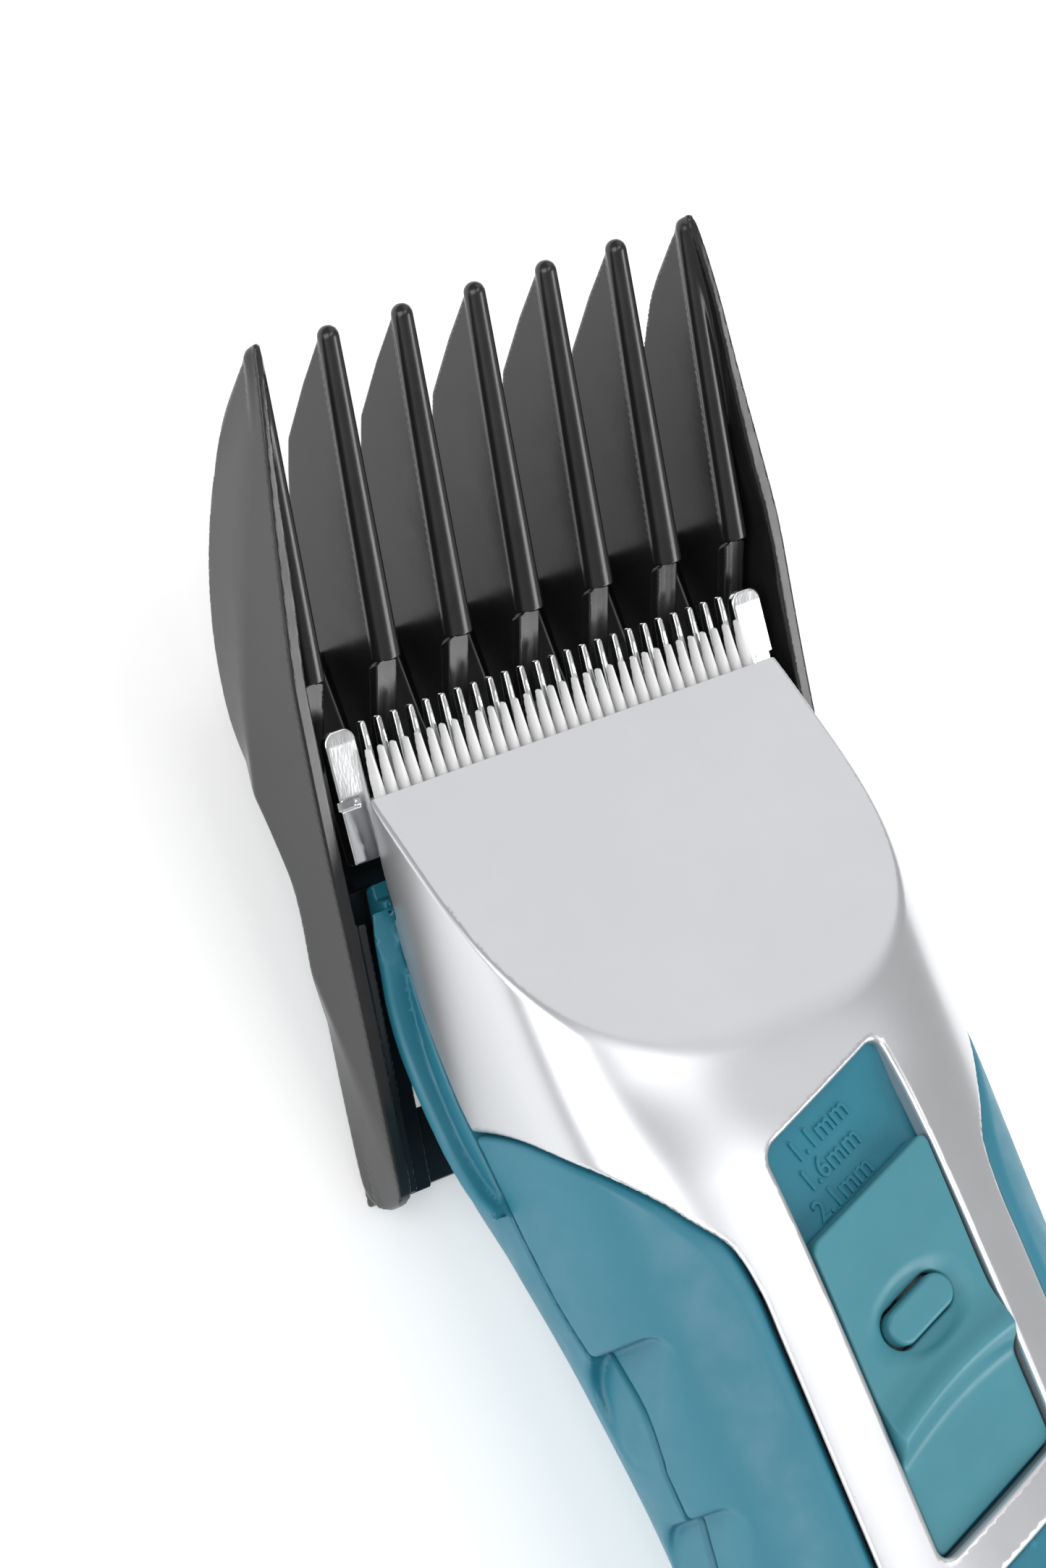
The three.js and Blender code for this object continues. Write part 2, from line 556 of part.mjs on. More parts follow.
function combTooth(number) {
  const outermost = Math.abs(number) === (COMB_TEETH - 1) / 2;
  const x = number * COMB_PITCH;
  const outline = [ROD_TIP, ROD_FOOT, [-2.5, -4.9], [-6, -8.4], [-6, -9.8],
    [0, -10.1], [6.6, -9.5], [10, -8.6],
    [12.7, -7.5], [15.2, -6], [19.7, -2.8], [21.5, -1.4], [23.7, 0.6], [26.6, 6.0], [28.9, 11.0]];
  const plate = prism('YZ', outline, x - 0.6, x + 0.6);
  const [tipRadius, footRadius] = outermost ? [0.75, 1.0] : [0.9, 1.2];
  const run = Math.hypot(ROD_TIP[0] - ROD_FOOT[0], ROD_TIP[1] - ROD_FOOT[1]);
  const bead = new THREE.CylinderGeometry(tipRadius, footRadius, run, 8);
  const lift = Math.atan2(ROD_TIP[1] - ROD_FOOT[1], ROD_TIP[0] - ROD_FOOT[0]);
  bead.rotateX(lift);
  bead.translate(x, (ROD_TIP[0] + ROD_FOOT[0]) / 2, (ROD_TIP[1] + ROD_FOOT[1]) / 2);
  const knob = new THREE.SphereGeometry(tipRadius, 8, 4);
  knob.translate(x, ...ROD_TIP);
  const bar = [[3.8, 0.4], [-2.5, -4.9], [-2.5, -6.2], [3.8, -0.9]];
  return joined([plate, toSolid(bead), toSolid(knob), prism('YZ', bar, x - 1.05, x + 1.05)]);
}

// Side wall stations: y, outer half width, wall, rim height, back height, chamfer at the back.
const COMB_WALL = [
  [29.0, 22.2, 0.8, 12.9, 11.4, 0.3],
  [26.5, 22.5, 0.8, 12.2, 6.4, 0.5],
  [22.5, 23.0, 0.8, 10.7, 1.6, 0.7],
  [19, 23.4, 0.9, 9.2, -2.2, 0.8],
  [15, 23.85, 1.1, 7.5, -5.7, 1.0],
  [10, 24.4, 1.3, 5.5, -8.4, 1.2],
  [4, 24.95, 1.3, 3.1, -9.8, 1.0],
  [-5.5, 25.0, 1.3, -0.8, -9.4, 0.4],
  [-10.7, 25.0, 1.3, -2.8, -9.7, 0.3],
  [-20, 25.0, 1.3, -6.2, -13.7, 0.3],
  [-33.6, 25.0, 1.3, -11.6, -18.8, 0.3],
  [-36.2, 25.0, 1.3, -12.9, -18.0, 0.3],
  [-36.9, 25.0, 1.3, -14.1, -16.4, 0.3],
];

function combWall(side) {
  const wall = loft(COMB_WALL.map(([y, x, thick, rim, back, chamfer]) => [
    [x - thick, y, back], [x - chamfer, y, back], [x, y, back + 2.5 * chamfer],
    [x, y, rim], [x - thick, y, rim],
  ]));
  return side > 0 ? wall : wall.mirror([1, 0, 0]);
}

// A ledge inside each wall, parallel to the way that the comb slides.
// It stays outside the blade's wings and the flange, which it passes as the comb slides off.
const RAIL = { front: -15, rear: -36.2, z: -4.56, thick: 1.3, inner: 22.7, outer: 24.0 };

function combRail(side) {
  const { front, rear, z, thick, inner, outer } = RAIL;
  const drop = COMB_SLOPE * (front - rear);
  const outline = [[front, z], [rear, z - drop], [rear, z - drop - thick], [front, z - thick]];
  const rail = prism('YZ', outline, inner, outer);
  return side > 0 ? rail : rail.mirror([1, 0, 0]);
}

function guideComb() {
  const teeth = [];
  for (let k = 0; k < COMB_TEETH; k += 1) teeth.push(combTooth(k - (COMB_TEETH - 1) / 2));
  const floor = prism('YZ', [[7.5, -9.2], [0, -10.1], [-10.7, -9.9], [-12.3, -10.4],
    [-12.3, -9.2], [-10.7, -8.6], [0, -8.7], [7.5, -8.0]], -24, 24);
  const crossbar = prism('YZ', [[-29.8, -15.8], [-35.9, -18.4], [-35.9, LOWEST_Z], [-29.8, -17.3]], -24, 24);
  return joined([...teeth, combWall(1), combWall(-1), floor, crossbar, combRail(1), combRail(-1)]);
}

// ---------------------------------------------------------------- finishes
const FINISH = {
  silver: { color: 0xc8cacd, roughness: 0.32, metalness: 0.75 },
  teal: { color: 0x2a7b91, roughness: 0.55, metalness: 0.0 },
  control: { color: 0x3f8a9b, roughness: 0.5, metalness: 0.0 },
  black: { color: 0x232325, roughness: 0.4, metalness: 0.0 },
  steel: { color: 0xd0d2d4, roughness: 0.22, metalness: 1.0 },
  ceramic: { color: 0xeeeeee, roughness: 0.3, metalness: 0.0 },
  zinc: { color: 0xa8abae, roughness: 0.4, metalness: 1.0 },
  inner: { color: 0xd8d8d4, roughness: 0.6, metalness: 0.0 },
  rubber: { color: 0x1f2123, roughness: 0.8, metalness: 0.0 },
  board: { color: 0x1f5a34, roughness: 0.5, metalness: 0.0 },
  brass: { color: 0xc9a24a, roughness: 0.35, metalness: 1.0 },
  cell: { color: 0x5f8f4a, roughness: 0.45, metalness: 0.0 },
  lens: { color: 0xd9efe0, roughness: 0.15, metalness: 0.0 },
};

function piece(name, finish, shape) {
  const geometry = shape instanceof THREE.BufferGeometry ? shape : toGeometry(shape);
  const mesh = new THREE.Mesh(geometry, new THREE.MeshStandardMaterial(FINISH[finish]));
  mesh.name = name;
  return mesh;
}

// ---------------------------------------------------------------- assembly
const head = new THREE.Group();
head.rotation.x = BLADE_TILT;
head.add(
  piece('fixed_blade', 'steel', fixedBlade()),
  piece('moving_blade', 'ceramic', movingBlade()),
  piece('blade_screw_left', 'steel', bladeScrew(-BLADE_SCREW.x)),
  piece('blade_screw_right', 'steel', bladeScrew(BLADE_SCREW.x)),
  piece('blade_carriage', 'inner', bladeCarriage()),
  piece('blade_spring', 'steel', bladeSpring()),
);

const clipper = new THREE.Group();
clipper.position.set(0, -(TAIL_Y + COMB_TIP_Y) / 2, -LOWEST_Z);
clipper.add(
  head,
  piece('upper_housing', 'silver', upperHousing()),
  piece('lower_housing', 'teal', lowerHousing()),
  piece('left_grip', 'teal', grip(-1)),
  piece('right_grip', 'teal', grip(1)),
  piece('tail_cap', 'teal', tailCap()),
  piece('rest_pad', 'rubber', restPad()),
  piece('scale_plate', 'control', scalePlate()),
  piece('length_slider', 'control', lengthSlider()),
  piece('lock_button', 'control', lockButton()),
  piece('lock_spring', 'steel', coil(1.2, 0.22, 9.1, 11.7, 3)),
  piece('length_link', 'inner', lengthLink()),
  piece('adjusting_lever', 'inner', adjustingLever()),
  piece('lever_pin', 'steel', rod('X', [LEVER.y, LEVER.z], 0.95, -14, 14, 12)),
  piece('front_panel', 'control', frontPanel()),
  piece('power_slider', 'control', powerSlider()),
  piece('indicator_lens', 'lens', rod('Z', [0, -113], 1.2, 9.8, 12.8, 14)),
  piece('blade_seat', 'teal', bladeSeat()),
  piece('drive_yoke', 'inner', driveYoke()),
  piece('motor', 'zinc', motor()),
  piece('motor_bracket', 'inner', motorBracket()),
  piece('motor_screw_left', 'steel', motorScrew(-6)),
  piece('motor_screw_right', 'steel', motorScrew(6)),
  piece('motor_shaft', 'steel', rod('Y', [0, SHAFT_Z], 1.0, -60, -35.3, 16)),
  piece('eccentric_cam', 'brass', eccentricCam()),
  piece('battery', 'cell', rod('Y', [0, -4.2], 7.0, -139, -89.7, 20)),
  piece('battery_contact_front', 'brass', block([-5, -89.4, -10], [5, -88.8, 1])),
  piece('battery_contact_rear', 'brass', block([-5, -139.9, -10], [5, -139.3, 1])),
  piece('circuit_board', 'board', block([-9.5, -136, 4.2], [9.5, -86, 5.4])),
  piece('switch_block', 'rubber', block([-4.5, -105, 5.7], [4.5, -94.5, 8.5])),
  piece('charging_socket', 'rubber', chargingSocket()),
  piece('guide_comb', 'black', guideComb()),
  ...SCREWS.map(([x, y], k) => piece(`housing_screw_${k + 1}`, 'steel', housingScrew(x, y))),
);

export default clipper;
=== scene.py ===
"""Looks of a cordless hair clipper with a guide comb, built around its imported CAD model.

Each visible piece is a rounded solid given by a distance function in millimetres, in the head frame: the
origin is the middle of the fixed blade's tips, +Y points out of the cutting end and +Z out of the front.
A surface net turns the function into a mesh, which rides on the body of the CAD node that it stands for.
"""
import json
import math

import bpy
import numpy as np
from mathutils import Euler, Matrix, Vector


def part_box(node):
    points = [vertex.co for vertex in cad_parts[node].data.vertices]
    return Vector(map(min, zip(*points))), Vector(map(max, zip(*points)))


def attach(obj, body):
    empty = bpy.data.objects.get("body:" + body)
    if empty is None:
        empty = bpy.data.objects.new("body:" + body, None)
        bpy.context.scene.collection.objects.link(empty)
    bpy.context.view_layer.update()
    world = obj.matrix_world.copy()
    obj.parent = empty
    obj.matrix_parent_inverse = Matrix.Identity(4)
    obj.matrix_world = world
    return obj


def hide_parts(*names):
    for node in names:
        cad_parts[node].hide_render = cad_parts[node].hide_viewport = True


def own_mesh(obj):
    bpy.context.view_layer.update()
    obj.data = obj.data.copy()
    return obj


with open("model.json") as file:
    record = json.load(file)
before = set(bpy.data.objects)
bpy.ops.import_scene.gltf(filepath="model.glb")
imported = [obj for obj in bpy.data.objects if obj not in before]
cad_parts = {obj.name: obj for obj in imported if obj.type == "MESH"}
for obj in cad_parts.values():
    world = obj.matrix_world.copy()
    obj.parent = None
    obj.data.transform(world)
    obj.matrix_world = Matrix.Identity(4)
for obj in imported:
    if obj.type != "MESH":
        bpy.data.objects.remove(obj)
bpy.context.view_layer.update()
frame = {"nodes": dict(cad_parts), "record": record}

# ---------------------------------------------------------------- driving dimensions, millimetres
TAIL_Y = -160.0                  # rear end of the tail cap
LOWEST_Z = -19.9                 # underside of the rest pad
COMB_TIP_Y = 29.4
COMB_REAR_Y = -36.9
SHELL_END_Y = -152.0             # where the tail cap starts
FRONT_Y = -6.0                   # front end of the front shell
BACK_FRONT_Y = -12               # front end of the back shell
GAP = 0.3                        # between neighbouring shells
HALF_GAP = 0.15
WALL, SIDE_WALL = 2.0, 2.8       # the sides are thicker, for the finger hollows
TILT = math.radians(16.2)        # of the blades
SLANT = math.tan(math.radians(19.5))    # of the ends of the front controls
# The head frame's origin, in the row frame.
HEAD = np.array([0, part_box("tail_cap")[0].y * 1000 - TAIL_Y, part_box("rest_pad")[0].z * 1000 - LOWEST_Z])

# Body stations: y, half width, top, bottom, superellipse exponent.
STATIONS = [
    (-6, 21.0, 11.4, -5.0, 4.0),
    (-20, 20.9, 11.4, -11.1, 3.8),
    (-35, 20.9, 11.4, -17.0, 3.6),
    (-45, 20.8, 13.2, -16.4, 2.9),
    (-56, 20.6, 14.0, -15.0, 2.5),
    (-72, 20.0, 14.1, -13.4, 2.5),
    (-100, 20.0, 13.8, -14.0, 2.5),
    (-130, 20.0, 12.4, -17.0, 2.6),
    (-152, 18.6, 10.6, -17.6, 2.7),
]
# The sloping front of the shells: a point on it, its rise for each millimetre backwards, and its wall.
SHIELD_Y, SHIELD_Z, SHIELD_SLOPE, SHIELD_WALL = -5.96, 0.24, 0.385, 1.5
# Lines along the sides, as y and z: between the shells, and around the top of the soft grips.
PARTING = [(4, 4.8), (-6, 0.1), (-17, -4.7), (-30, -5.6), (-36, -5.0), (-48, -3.9), (-54, -2.2), (-60, 0.6),
           (-66, 1.0), (TAIL_Y, 1.0)]
GRIP_EDGE = [(-28, -34.0), (-33, -11.0), (-34.3, -4.8), (-35.7, -0.6), (-37.4, 2.6), (-40.2, 6.0),
             (-42.5, 8.0), (-45, 9.5), (-47.3, 10.4), (-49.7, 11.2), (-52, 11.6)]
STRIP_HALF = 13.2                # half width of the silver strip between the grips
STRIP_ROWS = (-55, -58, -64, -86, -100, -115, -130, -142, TAIL_Y + 8)
GRIP_INNER = 11.5                # half width inside which there is no grip
# The raised rim beside the comb: its edge as y and z, then its reach along y and x, height and root.
FIN = [(-11.8, -1.9), (-15.4, -4.9), (-18.8, -6.6), (-22.2, -8.1), (-26.4, -8.9), (-32.9, -8.7), (-36, -8.2),
       (-38.9, -7.2), (-41, -5.8)]
FIN_ENDS, FIN_SIDES, FIN_TALL, FIN_ROOT = (-41, -11.8), (20.2, 22.3), 1.3, 0.8
# The square corners under the blade, above the way of the comb's ledges: their reach along x and y, and top.
CORNER_SIDES, CORNER_ENDS, CORNER_TOP = (16, 20.5), (-17.5, -12.2), -4.6
LEDGE_ROOM = 0.35
# Openings for the blades, in their tilted frame: half width, rear, low and high.
HEAD_OPENING = (20.4, -16, -8, 1.55)
BLADE_BAYS = ((22.7, -14.6, -1.7, 6), (17.9, -22.6, -1.7, 6))

SCREWS = [(-13, -45), (13, -45), (-9, -145), (9, -145)]
SEAT_RADIUS, SEAT_LOW, SEAT_HIGH, BORE_RADIUS = 3.6, -19, -6, 3.0
SCREW_RADIUS, SCREW_TALL, SCREW_DEPTH = 2.6, 1.6, 0.9
CROSS_HALF, CROSS_REACH, CROSS_DEPTH = 0.42, 1.6, 0.9
TAIL_WALL, TAIL_END_WALL, TAIL_ROUND = 2.2, 2.4, 4.8
SOCKET_Z, SOCKET_RADIUS, SOCKET_END_Y = -3, 3.4, -140
PAD_FRONT_Y, PAD_REAR_Y, PAD_RADIUS, PAD_ROOT_Z = -129, -139, 7.5, -10
GROOVE_PITCH, GROOVE_HALF, GROOVE_DEPTH, GROOVE_REACH = 3.0, 0.4, 0.35, 5.2

# Slanted areas of the front: half width, top and bottom.
RECESS = (7.4, -41.7, -76.8)
RECESS_PLATE = (9.2, -40.6, -78.7)
RECESS_SLOT = (4.1, -51.5, -68.8)
SLIDER = (7.1, -50.1, -76.5)
PANEL = (7.4, -80.9, -118.0)
PANEL_PLUG = (7.1, -81.2, -117.7)
PANEL_BASE = (9.2, -79.1, -120.0)
POWER_BED = (6.0, -92.0, -107.7)
POWER_CAP = (5.7, -95.4, -107.4)
# Heights of the front's floors, plates and controls.
FLOOR_Z, PLATE_THICK = 11.2, 1.5
PLUG_LOW, PLUG_TOP, BASE_LOW, BED_Z = 10.4, 12.6, 9.7, 11.9
SLIDER_LOW, POWER_LOW = 11.5, 12.2
LOCK_Y, LOCK_LOW, LOCK_TOP = -60.5, 11.9, 13.6
LOCK_SIZE, LOCK_HOLE = (7.5, 3.0), (8.1, 3.6)
POWER_SLOT, POWER_SLOT_HALF = (-102.4, -97.1), 1.6
LENS_Y, LENS_Z, LENS_LOW, LENS_RADIUS, LENS_HOLE = -113, 11.6, 9.8, 1.2, 1.5

# The camera's place in the head frame, its turn in degrees, its focal length and its sensor.
EYE = (-241.98, -46.645, 375.957)
EYE_TURN = (17.847, -27.445, -25.897)
FOCAL, SENSOR = 125.73, 36

COMB_HALF = 25.0
COMB_PITCH, LAST_TOOTH = 7.225, 3
COMB_WALL = [                    # y, outer half width, wall, rim height, back height
    (29.0, 22.2, 0.8, 12.9, 11.2),
    (26.5, 22.5, 0.8, 12.2, 5.4),
    (22.5, 23.0, 0.8, 10.7, 0.2),
    (19, 23.4, 0.9, 9.2, -3.3),
    (15, 23.85, 1.1, 7.5, -6.3),
    (10, 24.4, 1.3, 5.5, -8.7),
    (4, 24.95, 1.3, 3.1, -9.8),
    (-5.5, 25.0, 1.3, -0.8, -9.4),
    (-10.7, 25.0, 1.3, -2.8, -9.7),
    (-20, 25.0, 1.3, -6.2, -13.7),
    (-33.6, 25.0, 1.3, -11.6, -18.8),
    (-36.2, 25.0, 1.3, -12.9, -18.0),
    (-36.9, 25.0, 1.3, -14.1, -16.4),
]
# In side view, as y and z: the crease below which the walls lean in, and the outlines between the walls.
CREASE = [(30, 14.6), (27.9, 12.8), (22.7, 7.5), (16.9, 2.4), (12.3, -0.9), (7.6, -4.0), (3.3, -6.5),
          (-6, -12.0)]
COMB_SLOPE, SLOPE_RUN = 0.4245, 1.09    # of the comb's way, and its length for each millimetre of y
LEDGE = [(-12, -6.89), (-36.2, -17.16), (-36.2, -18.2), (-12, -8.09)]
RAIL = [(-15, -4.56), (-36.2, -13.56), (-36.2, -14.86), (-15, -5.86)]
FLOOR_HALF, BAR_HALF, LEDGE_SIDES, RAIL_SIDES = 23.6, 24.2, (19.3, 24.2), (22.7, 24.2)


# ---------------------------------------------------------------- distance functions
# The last number given to common, without and either is the radius of the edge or fillet.
def common(a, b, radius):
    """Where both solids are, with its edge rounded."""
    rest = np.minimum(np.maximum(a, b), -radius)
    return rest + np.hypot(np.maximum(a + radius, 0), np.maximum(b + radius, 0))


def without(a, b, radius):
    return common(a, -b, radius)


def either(a, b, radius):
    """Both solids together, with a fillet where they meet."""
    return -common(-a, -b, radius)


def between(value, low, high):
    return np.maximum(low - value, value - high)


def through(table, y):
    """The table's columns at y: a cubic through its rows, with the neighbours' slope at each row."""
    rows = np.array(sorted(table), float)
    knots, values = rows[:, 0], rows[:, 1:]
    slope = np.gradient(values, axis=0)
    span = np.gradient(knots)
    slope = slope / span[:, None]
    at = np.clip(y, knots[0], knots[-1])
    i = np.clip(np.searchsorted(knots, at, side="right") - 1, 0, len(knots) - 2)
    step = knots[i + 1] - knots[i]
    s = (at - knots[i]) / step
    weights = ((1 + 2 * s) * (1 - s) ** 2, s * (1 - s) ** 2 * step, s * s * (3 - 2 * s),
               s * s * (s - 1) * step)
    return [weights[0] * values[i, k] + weights[1] * slope[i, k] + weights[2] * values[i + 1, k]
            + weights[3] * slope[i + 1, k] for k in range(values.shape[1])]


def above_line(table, y, z):
    """Distance above a height given along y."""
    reach = 0.2
    height = through(table, y)[0]
    rise = (through(table, y + reach)[0] - through(table, y - reach)[0]) / (2 * reach)
    return (z - height) / np.hypot(1, rise)


def tube(x, y, z):
    half, top, bottom, power = through(STATIONS, y)
    tall = (top - bottom) / 2
    u = np.abs(x) / half
    v = np.abs(z - (top + bottom) / 2) / tall
    r = np.maximum((u ** power + v ** power) ** (1 / power), 1e-3)
    return (r - 1) / np.hypot((u / r) ** (power - 1) / half, (v / r) ** (power - 1) / tall)


def front_height(x, y):
    half, top, bottom, power = through(STATIONS, y)
    drop = (1 - np.minimum(np.abs(x) / half, 1) ** power) ** (1 / power)
    return (top + bottom) / 2 + (top - bottom) / 2 * drop


def polygon(u, v, points):
    """Distance to a closed outline, negative inside."""
    nearest = np.full(np.broadcast(u, v).shape, 1e9)
    inside = np.zeros(nearest.shape, bool)
    for (au, av), (bu, bv) in zip(points, points[1:] + points[:1]):
        du, dv = bu - au, bv - av
        t = np.clip(((u - au) * du + (v - av) * dv) / (du * du + dv * dv), 0, 1)
        nearest = np.minimum(nearest, (u - au - t * du) ** 2 + (v - av - t * dv) ** 2)
        if dv:
            inside ^= ((av > v) != (bv > v)) & (u < du * (v - av) / dv + au)
    return np.where(inside, -1, 1) * np.sqrt(nearest)


def slanted(x, y, area, radius):
    """A parallelogram slanted like the front controls."""
    half, top, bottom = area
    along = y - SLANT * x
    return common(np.abs(x) - half, between(along, bottom, top) / math.hypot(1, SLANT), radius)


def tilted(y, z):
    return y * math.cos(TILT) + z * math.sin(TILT), z * math.cos(TILT) - y * math.sin(TILT)


# ---------------------------------------------------------------- from a distance function to a mesh
OFF_GRID = 1.618                 # steps below the box, so that flat faces miss the grid's own planes
SETTLING_ROUNDS, LONGEST_MOVE = 3, 0.6
BLOCK, BLOCKS_AT_ONCE = 8, 1500
CORNERS = np.array([(i, j, k) for i in (0, 1) for j in (0, 1) for k in (0, 1)])
EDGES = [(a, b) for a in range(8) for b in range(a + 1, 8) if abs(CORNERS[a] - CORNERS[b]).sum() == 1]


def sampled(shape, low, high, step):
    """The function on a grid: exact near the surface, and elsewhere only of the right sign."""
    blocks = np.ceil((high - low) / (step * BLOCK)).astype(int) + 1
    centres = [low[a] + (np.arange(blocks[a]) * BLOCK + (BLOCK - 1) / 2) * step[a] for a in range(3)]
    mesh = np.meshgrid(*centres, indexing="ij")
    coarse = shape(*(m.ravel() for m in mesh)).reshape(blocks)
    field = coarse.astype(np.float32)
    for axis in range(3):
        field = np.repeat(field, BLOCK, axis)
    reach = 0.75 * BLOCK * np.linalg.norm(step)
    near = np.argwhere(np.abs(coarse) < reach)
    local = np.array(np.meshgrid(*[np.arange(BLOCK)] * 3, indexing="ij")).reshape(3, -1).T
    for chunk in np.array_split(near, len(near) // BLOCKS_AT_ONCE + 1):
        index = (chunk[:, None, :] * BLOCK + local).reshape(-1, 3)
        field[tuple(index.T)] = shape(*(low + index * step).T)
    return field


def net(field, low, step):
    """One vertex in each grid cell that the surface crosses, and one quad around each crossed grid edge."""
    inside = field < 0
    size = np.array(field.shape) - 1
    count = sum(inside[i:i + size[0], j:j + size[1], k:k + size[2]].astype(np.int8) for i, j, k in CORNERS)
    cells = np.argwhere((count > 0) & (count < 8))
    number = np.full(size, -1)
    number[tuple(cells.T)] = np.arange(len(cells))
    values = np.stack([field[tuple((cells + corner).T)] for corner in CORNERS], 1)
    total = np.zeros((len(cells), 3))
    hits = np.zeros(len(cells))
    for a, b in EDGES:
        crossed = (values[:, a] < 0) != (values[:, b] < 0)
        change = np.where(crossed, values[:, a] - values[:, b], 1)
        t = np.where(crossed, values[:, a] / change, 0)
        total += crossed[:, None] * (CORNERS[a] + t[:, None] * (CORNERS[b] - CORNERS[a]))
        hits += crossed
    points = low + (cells + total / hits[:, None]) * step
    quads = []
    for axis in range(3):
        start = np.take(inside, np.arange(size[axis]), axis)
        end = np.take(inside, np.arange(1, size[axis] + 1), axis)
        edges = np.argwhere(start != end)
        u, v = np.eye(3, dtype=int)[[(axis + 1) % 3, (axis + 2) % 3]]
        others = edges[:, [(axis + 1) % 3, (axis + 2) % 3]]
        edges = edges[(others > 0).all(1) & (others < size[[(axis + 1) % 3, (axis + 2) % 3]]).all(1)]
        quad = np.stack([number[tuple((edges - away).T)] for away in (0 * u, u, u + v, v)], 1)
        outward = start[tuple(edges.T)]
        quads.append(np.where(outward[:, None], quad, quad[:, ::-1]))
    return points, np.concatenate(quads)


def slopes(shape, points, reach):
    """The function's slope at each point, along x, y and z."""
    change = [shape(*(points + away).T) - shape(*(points - away).T) for away in np.eye(3) * reach]
    return np.stack(change, 1) / (2 * reach)


def solid(name, shape, low, high, step):
    """The mesh of a distance function inside a box, in the row frame in metres."""
    step = np.array(step if np.ndim(step) else [step] * 3, float) * 1
    low = np.array(low, float) - OFF_GRID * step
    points, quads = net(sampled(shape, low, np.array(high, float) + 2 * step, step), low, step)
    finest = step.min()
    for _ in range(SETTLING_ROUNDS):
        slope = slopes(shape, points, 0.2 * finest)
        steep = np.maximum((slope ** 2).sum(1), 0.3)
        move = np.clip(shape(*points.T) / steep, -LONGEST_MOVE * finest, LONGEST_MOVE * finest)
        points -= move[:, None] * slope
    normals = slopes(shape, points, 0.3 * finest)
    normals /= np.maximum(np.linalg.norm(normals, axis=1), 1e-6)[:, None]
    mesh = bpy.data.meshes.new(name)
    mesh.from_pydata(((points + HEAD) / 1000).tolist(), [], quads.tolist())
    mesh.shade_smooth()
    mesh.normals_split_custom_set_from_vertices(normals.tolist())
    piece = bpy.data.objects.new(name, mesh)
    bpy.context.scene.collection.objects.link(piece)
    return piece


BODY_OF = {node: body for body, nodes in frame["record"]["behaviour"]["bodies"].items() for node in nodes}


def stands_for(piece, node, material):
    piece.data.materials.clear()
    piece.data.materials.append(material)
    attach(piece, BODY_OF[node])
    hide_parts(node)
    return piece


# ---------------------------------------------------------------- materials
RUBBED = (0.53, 0.62)            # pointiness from which an edge looks rubbed, and at which it is fully so
GRAIN_DEPTH = 0.0001


class Nodes:
    """A material's node tree, with short calls for what the recipes below use."""

    def __init__(self, name):
        self.material = bpy.data.materials.new(name)
        self.material.use_nodes = True
        self.tree = self.material.node_tree
        self.shader = self.tree.nodes["Principled BSDF"]
        self.place = self.tree.nodes.new("ShaderNodeTexCoord").outputs["Object"]

    def add(self, kind, inputs=(), **settings):
        node = self.tree.nodes.new(kind)
        for key, value in settings.items():
            setattr(node, key, value)
        for key, value in dict(inputs).items():
            if isinstance(value, bpy.types.NodeSocket):
                self.tree.links.new(value, node.inputs[key])
            else:
                node.inputs[key].default_value = value
        return node

    def noise(self, scale, detail=3.0, stretch=(1, 1, 1)):
        """Noise whose size is given in features per metre."""
        mapping = self.add("ShaderNodeMapping", {"Vector": self.place, "Scale": stretch})
        inputs = {"Vector": mapping.outputs[0], "Scale": scale, "Detail": detail}
        return self.add("ShaderNodeTexNoise", inputs)

    def spread(self, socket, low, high, start=0.35, end=0.65):
        limits = {"Value": socket, "From Min": start, "From Max": end, "To Min": low, "To Max": high}
        return self.add("ShaderNodeMapRange", limits).outputs[0]

    def blend(self, factor, a, b):
        """Colour a or b by a factor; the numbers are the Mix node's colour sockets."""
        node = self.add("ShaderNodeMix", data_type="RGBA")
        for index, value in ((0, factor), (6, a), (7, b)):
            if isinstance(value, bpy.types.NodeSocket):
                self.tree.links.new(value, node.inputs[index])
            else:
                node.inputs[index].default_value = value
        return node.outputs[2]

    def drive(self, **sockets):
        for key, value in sockets.items():
            target = self.shader.inputs[key.replace("_", " ")]
            if isinstance(value, bpy.types.NodeSocket):
                self.tree.links.new(value, target)
            else:
                target.default_value = value


def shade(colour, factor):
    """The colour made brighter or darker, with full alpha."""
    return tuple(min(c * factor, 1.0) for c in colour) + (1.0,)


def finish(name, colour, roughness, metallic=0.0, grain=(6000, 0.05), mottle=0.06, wear=1.25,
           stretch=(1, 1, 1), spread=0.12, **extra):
    """Moulded, painted or metal surface: fine grain, slow colour drift, uneven gloss and rubbed edges.

    grain is features per metre and strength, mottle and spread are how far colour and gloss vary, and wear
    is how much brighter the rubbed edges are.
    """
    nodes = Nodes(name)
    drift = nodes.spread(nodes.noise(90, 4).outputs["Fac"], 0, 1)
    base = nodes.blend(drift, shade(colour, 1 - mottle), shade(colour, 1 + mottle))
    edges = nodes.add("ShaderNodeNewGeometry").outputs["Pointiness"]
    rubbed = nodes.spread(edges, 0, 1, *RUBBED)
    fine = nodes.noise(grain[0], 2, stretch)
    gloss = nodes.spread(nodes.noise(400, 5, stretch).outputs["Fac"], roughness * (1 - spread),
                         roughness * (1 + spread))
    relief = {"Height": fine.outputs["Fac"], "Strength": grain[1], "Distance": GRAIN_DEPTH}
    bump = nodes.add("ShaderNodeBump", relief)
    nodes.drive(Base_Color=nodes.blend(rubbed, base, shade(colour, wear)), Roughness=gloss, Metallic=metallic,
                Normal=bump.outputs[0], **extra)
    return nodes.material


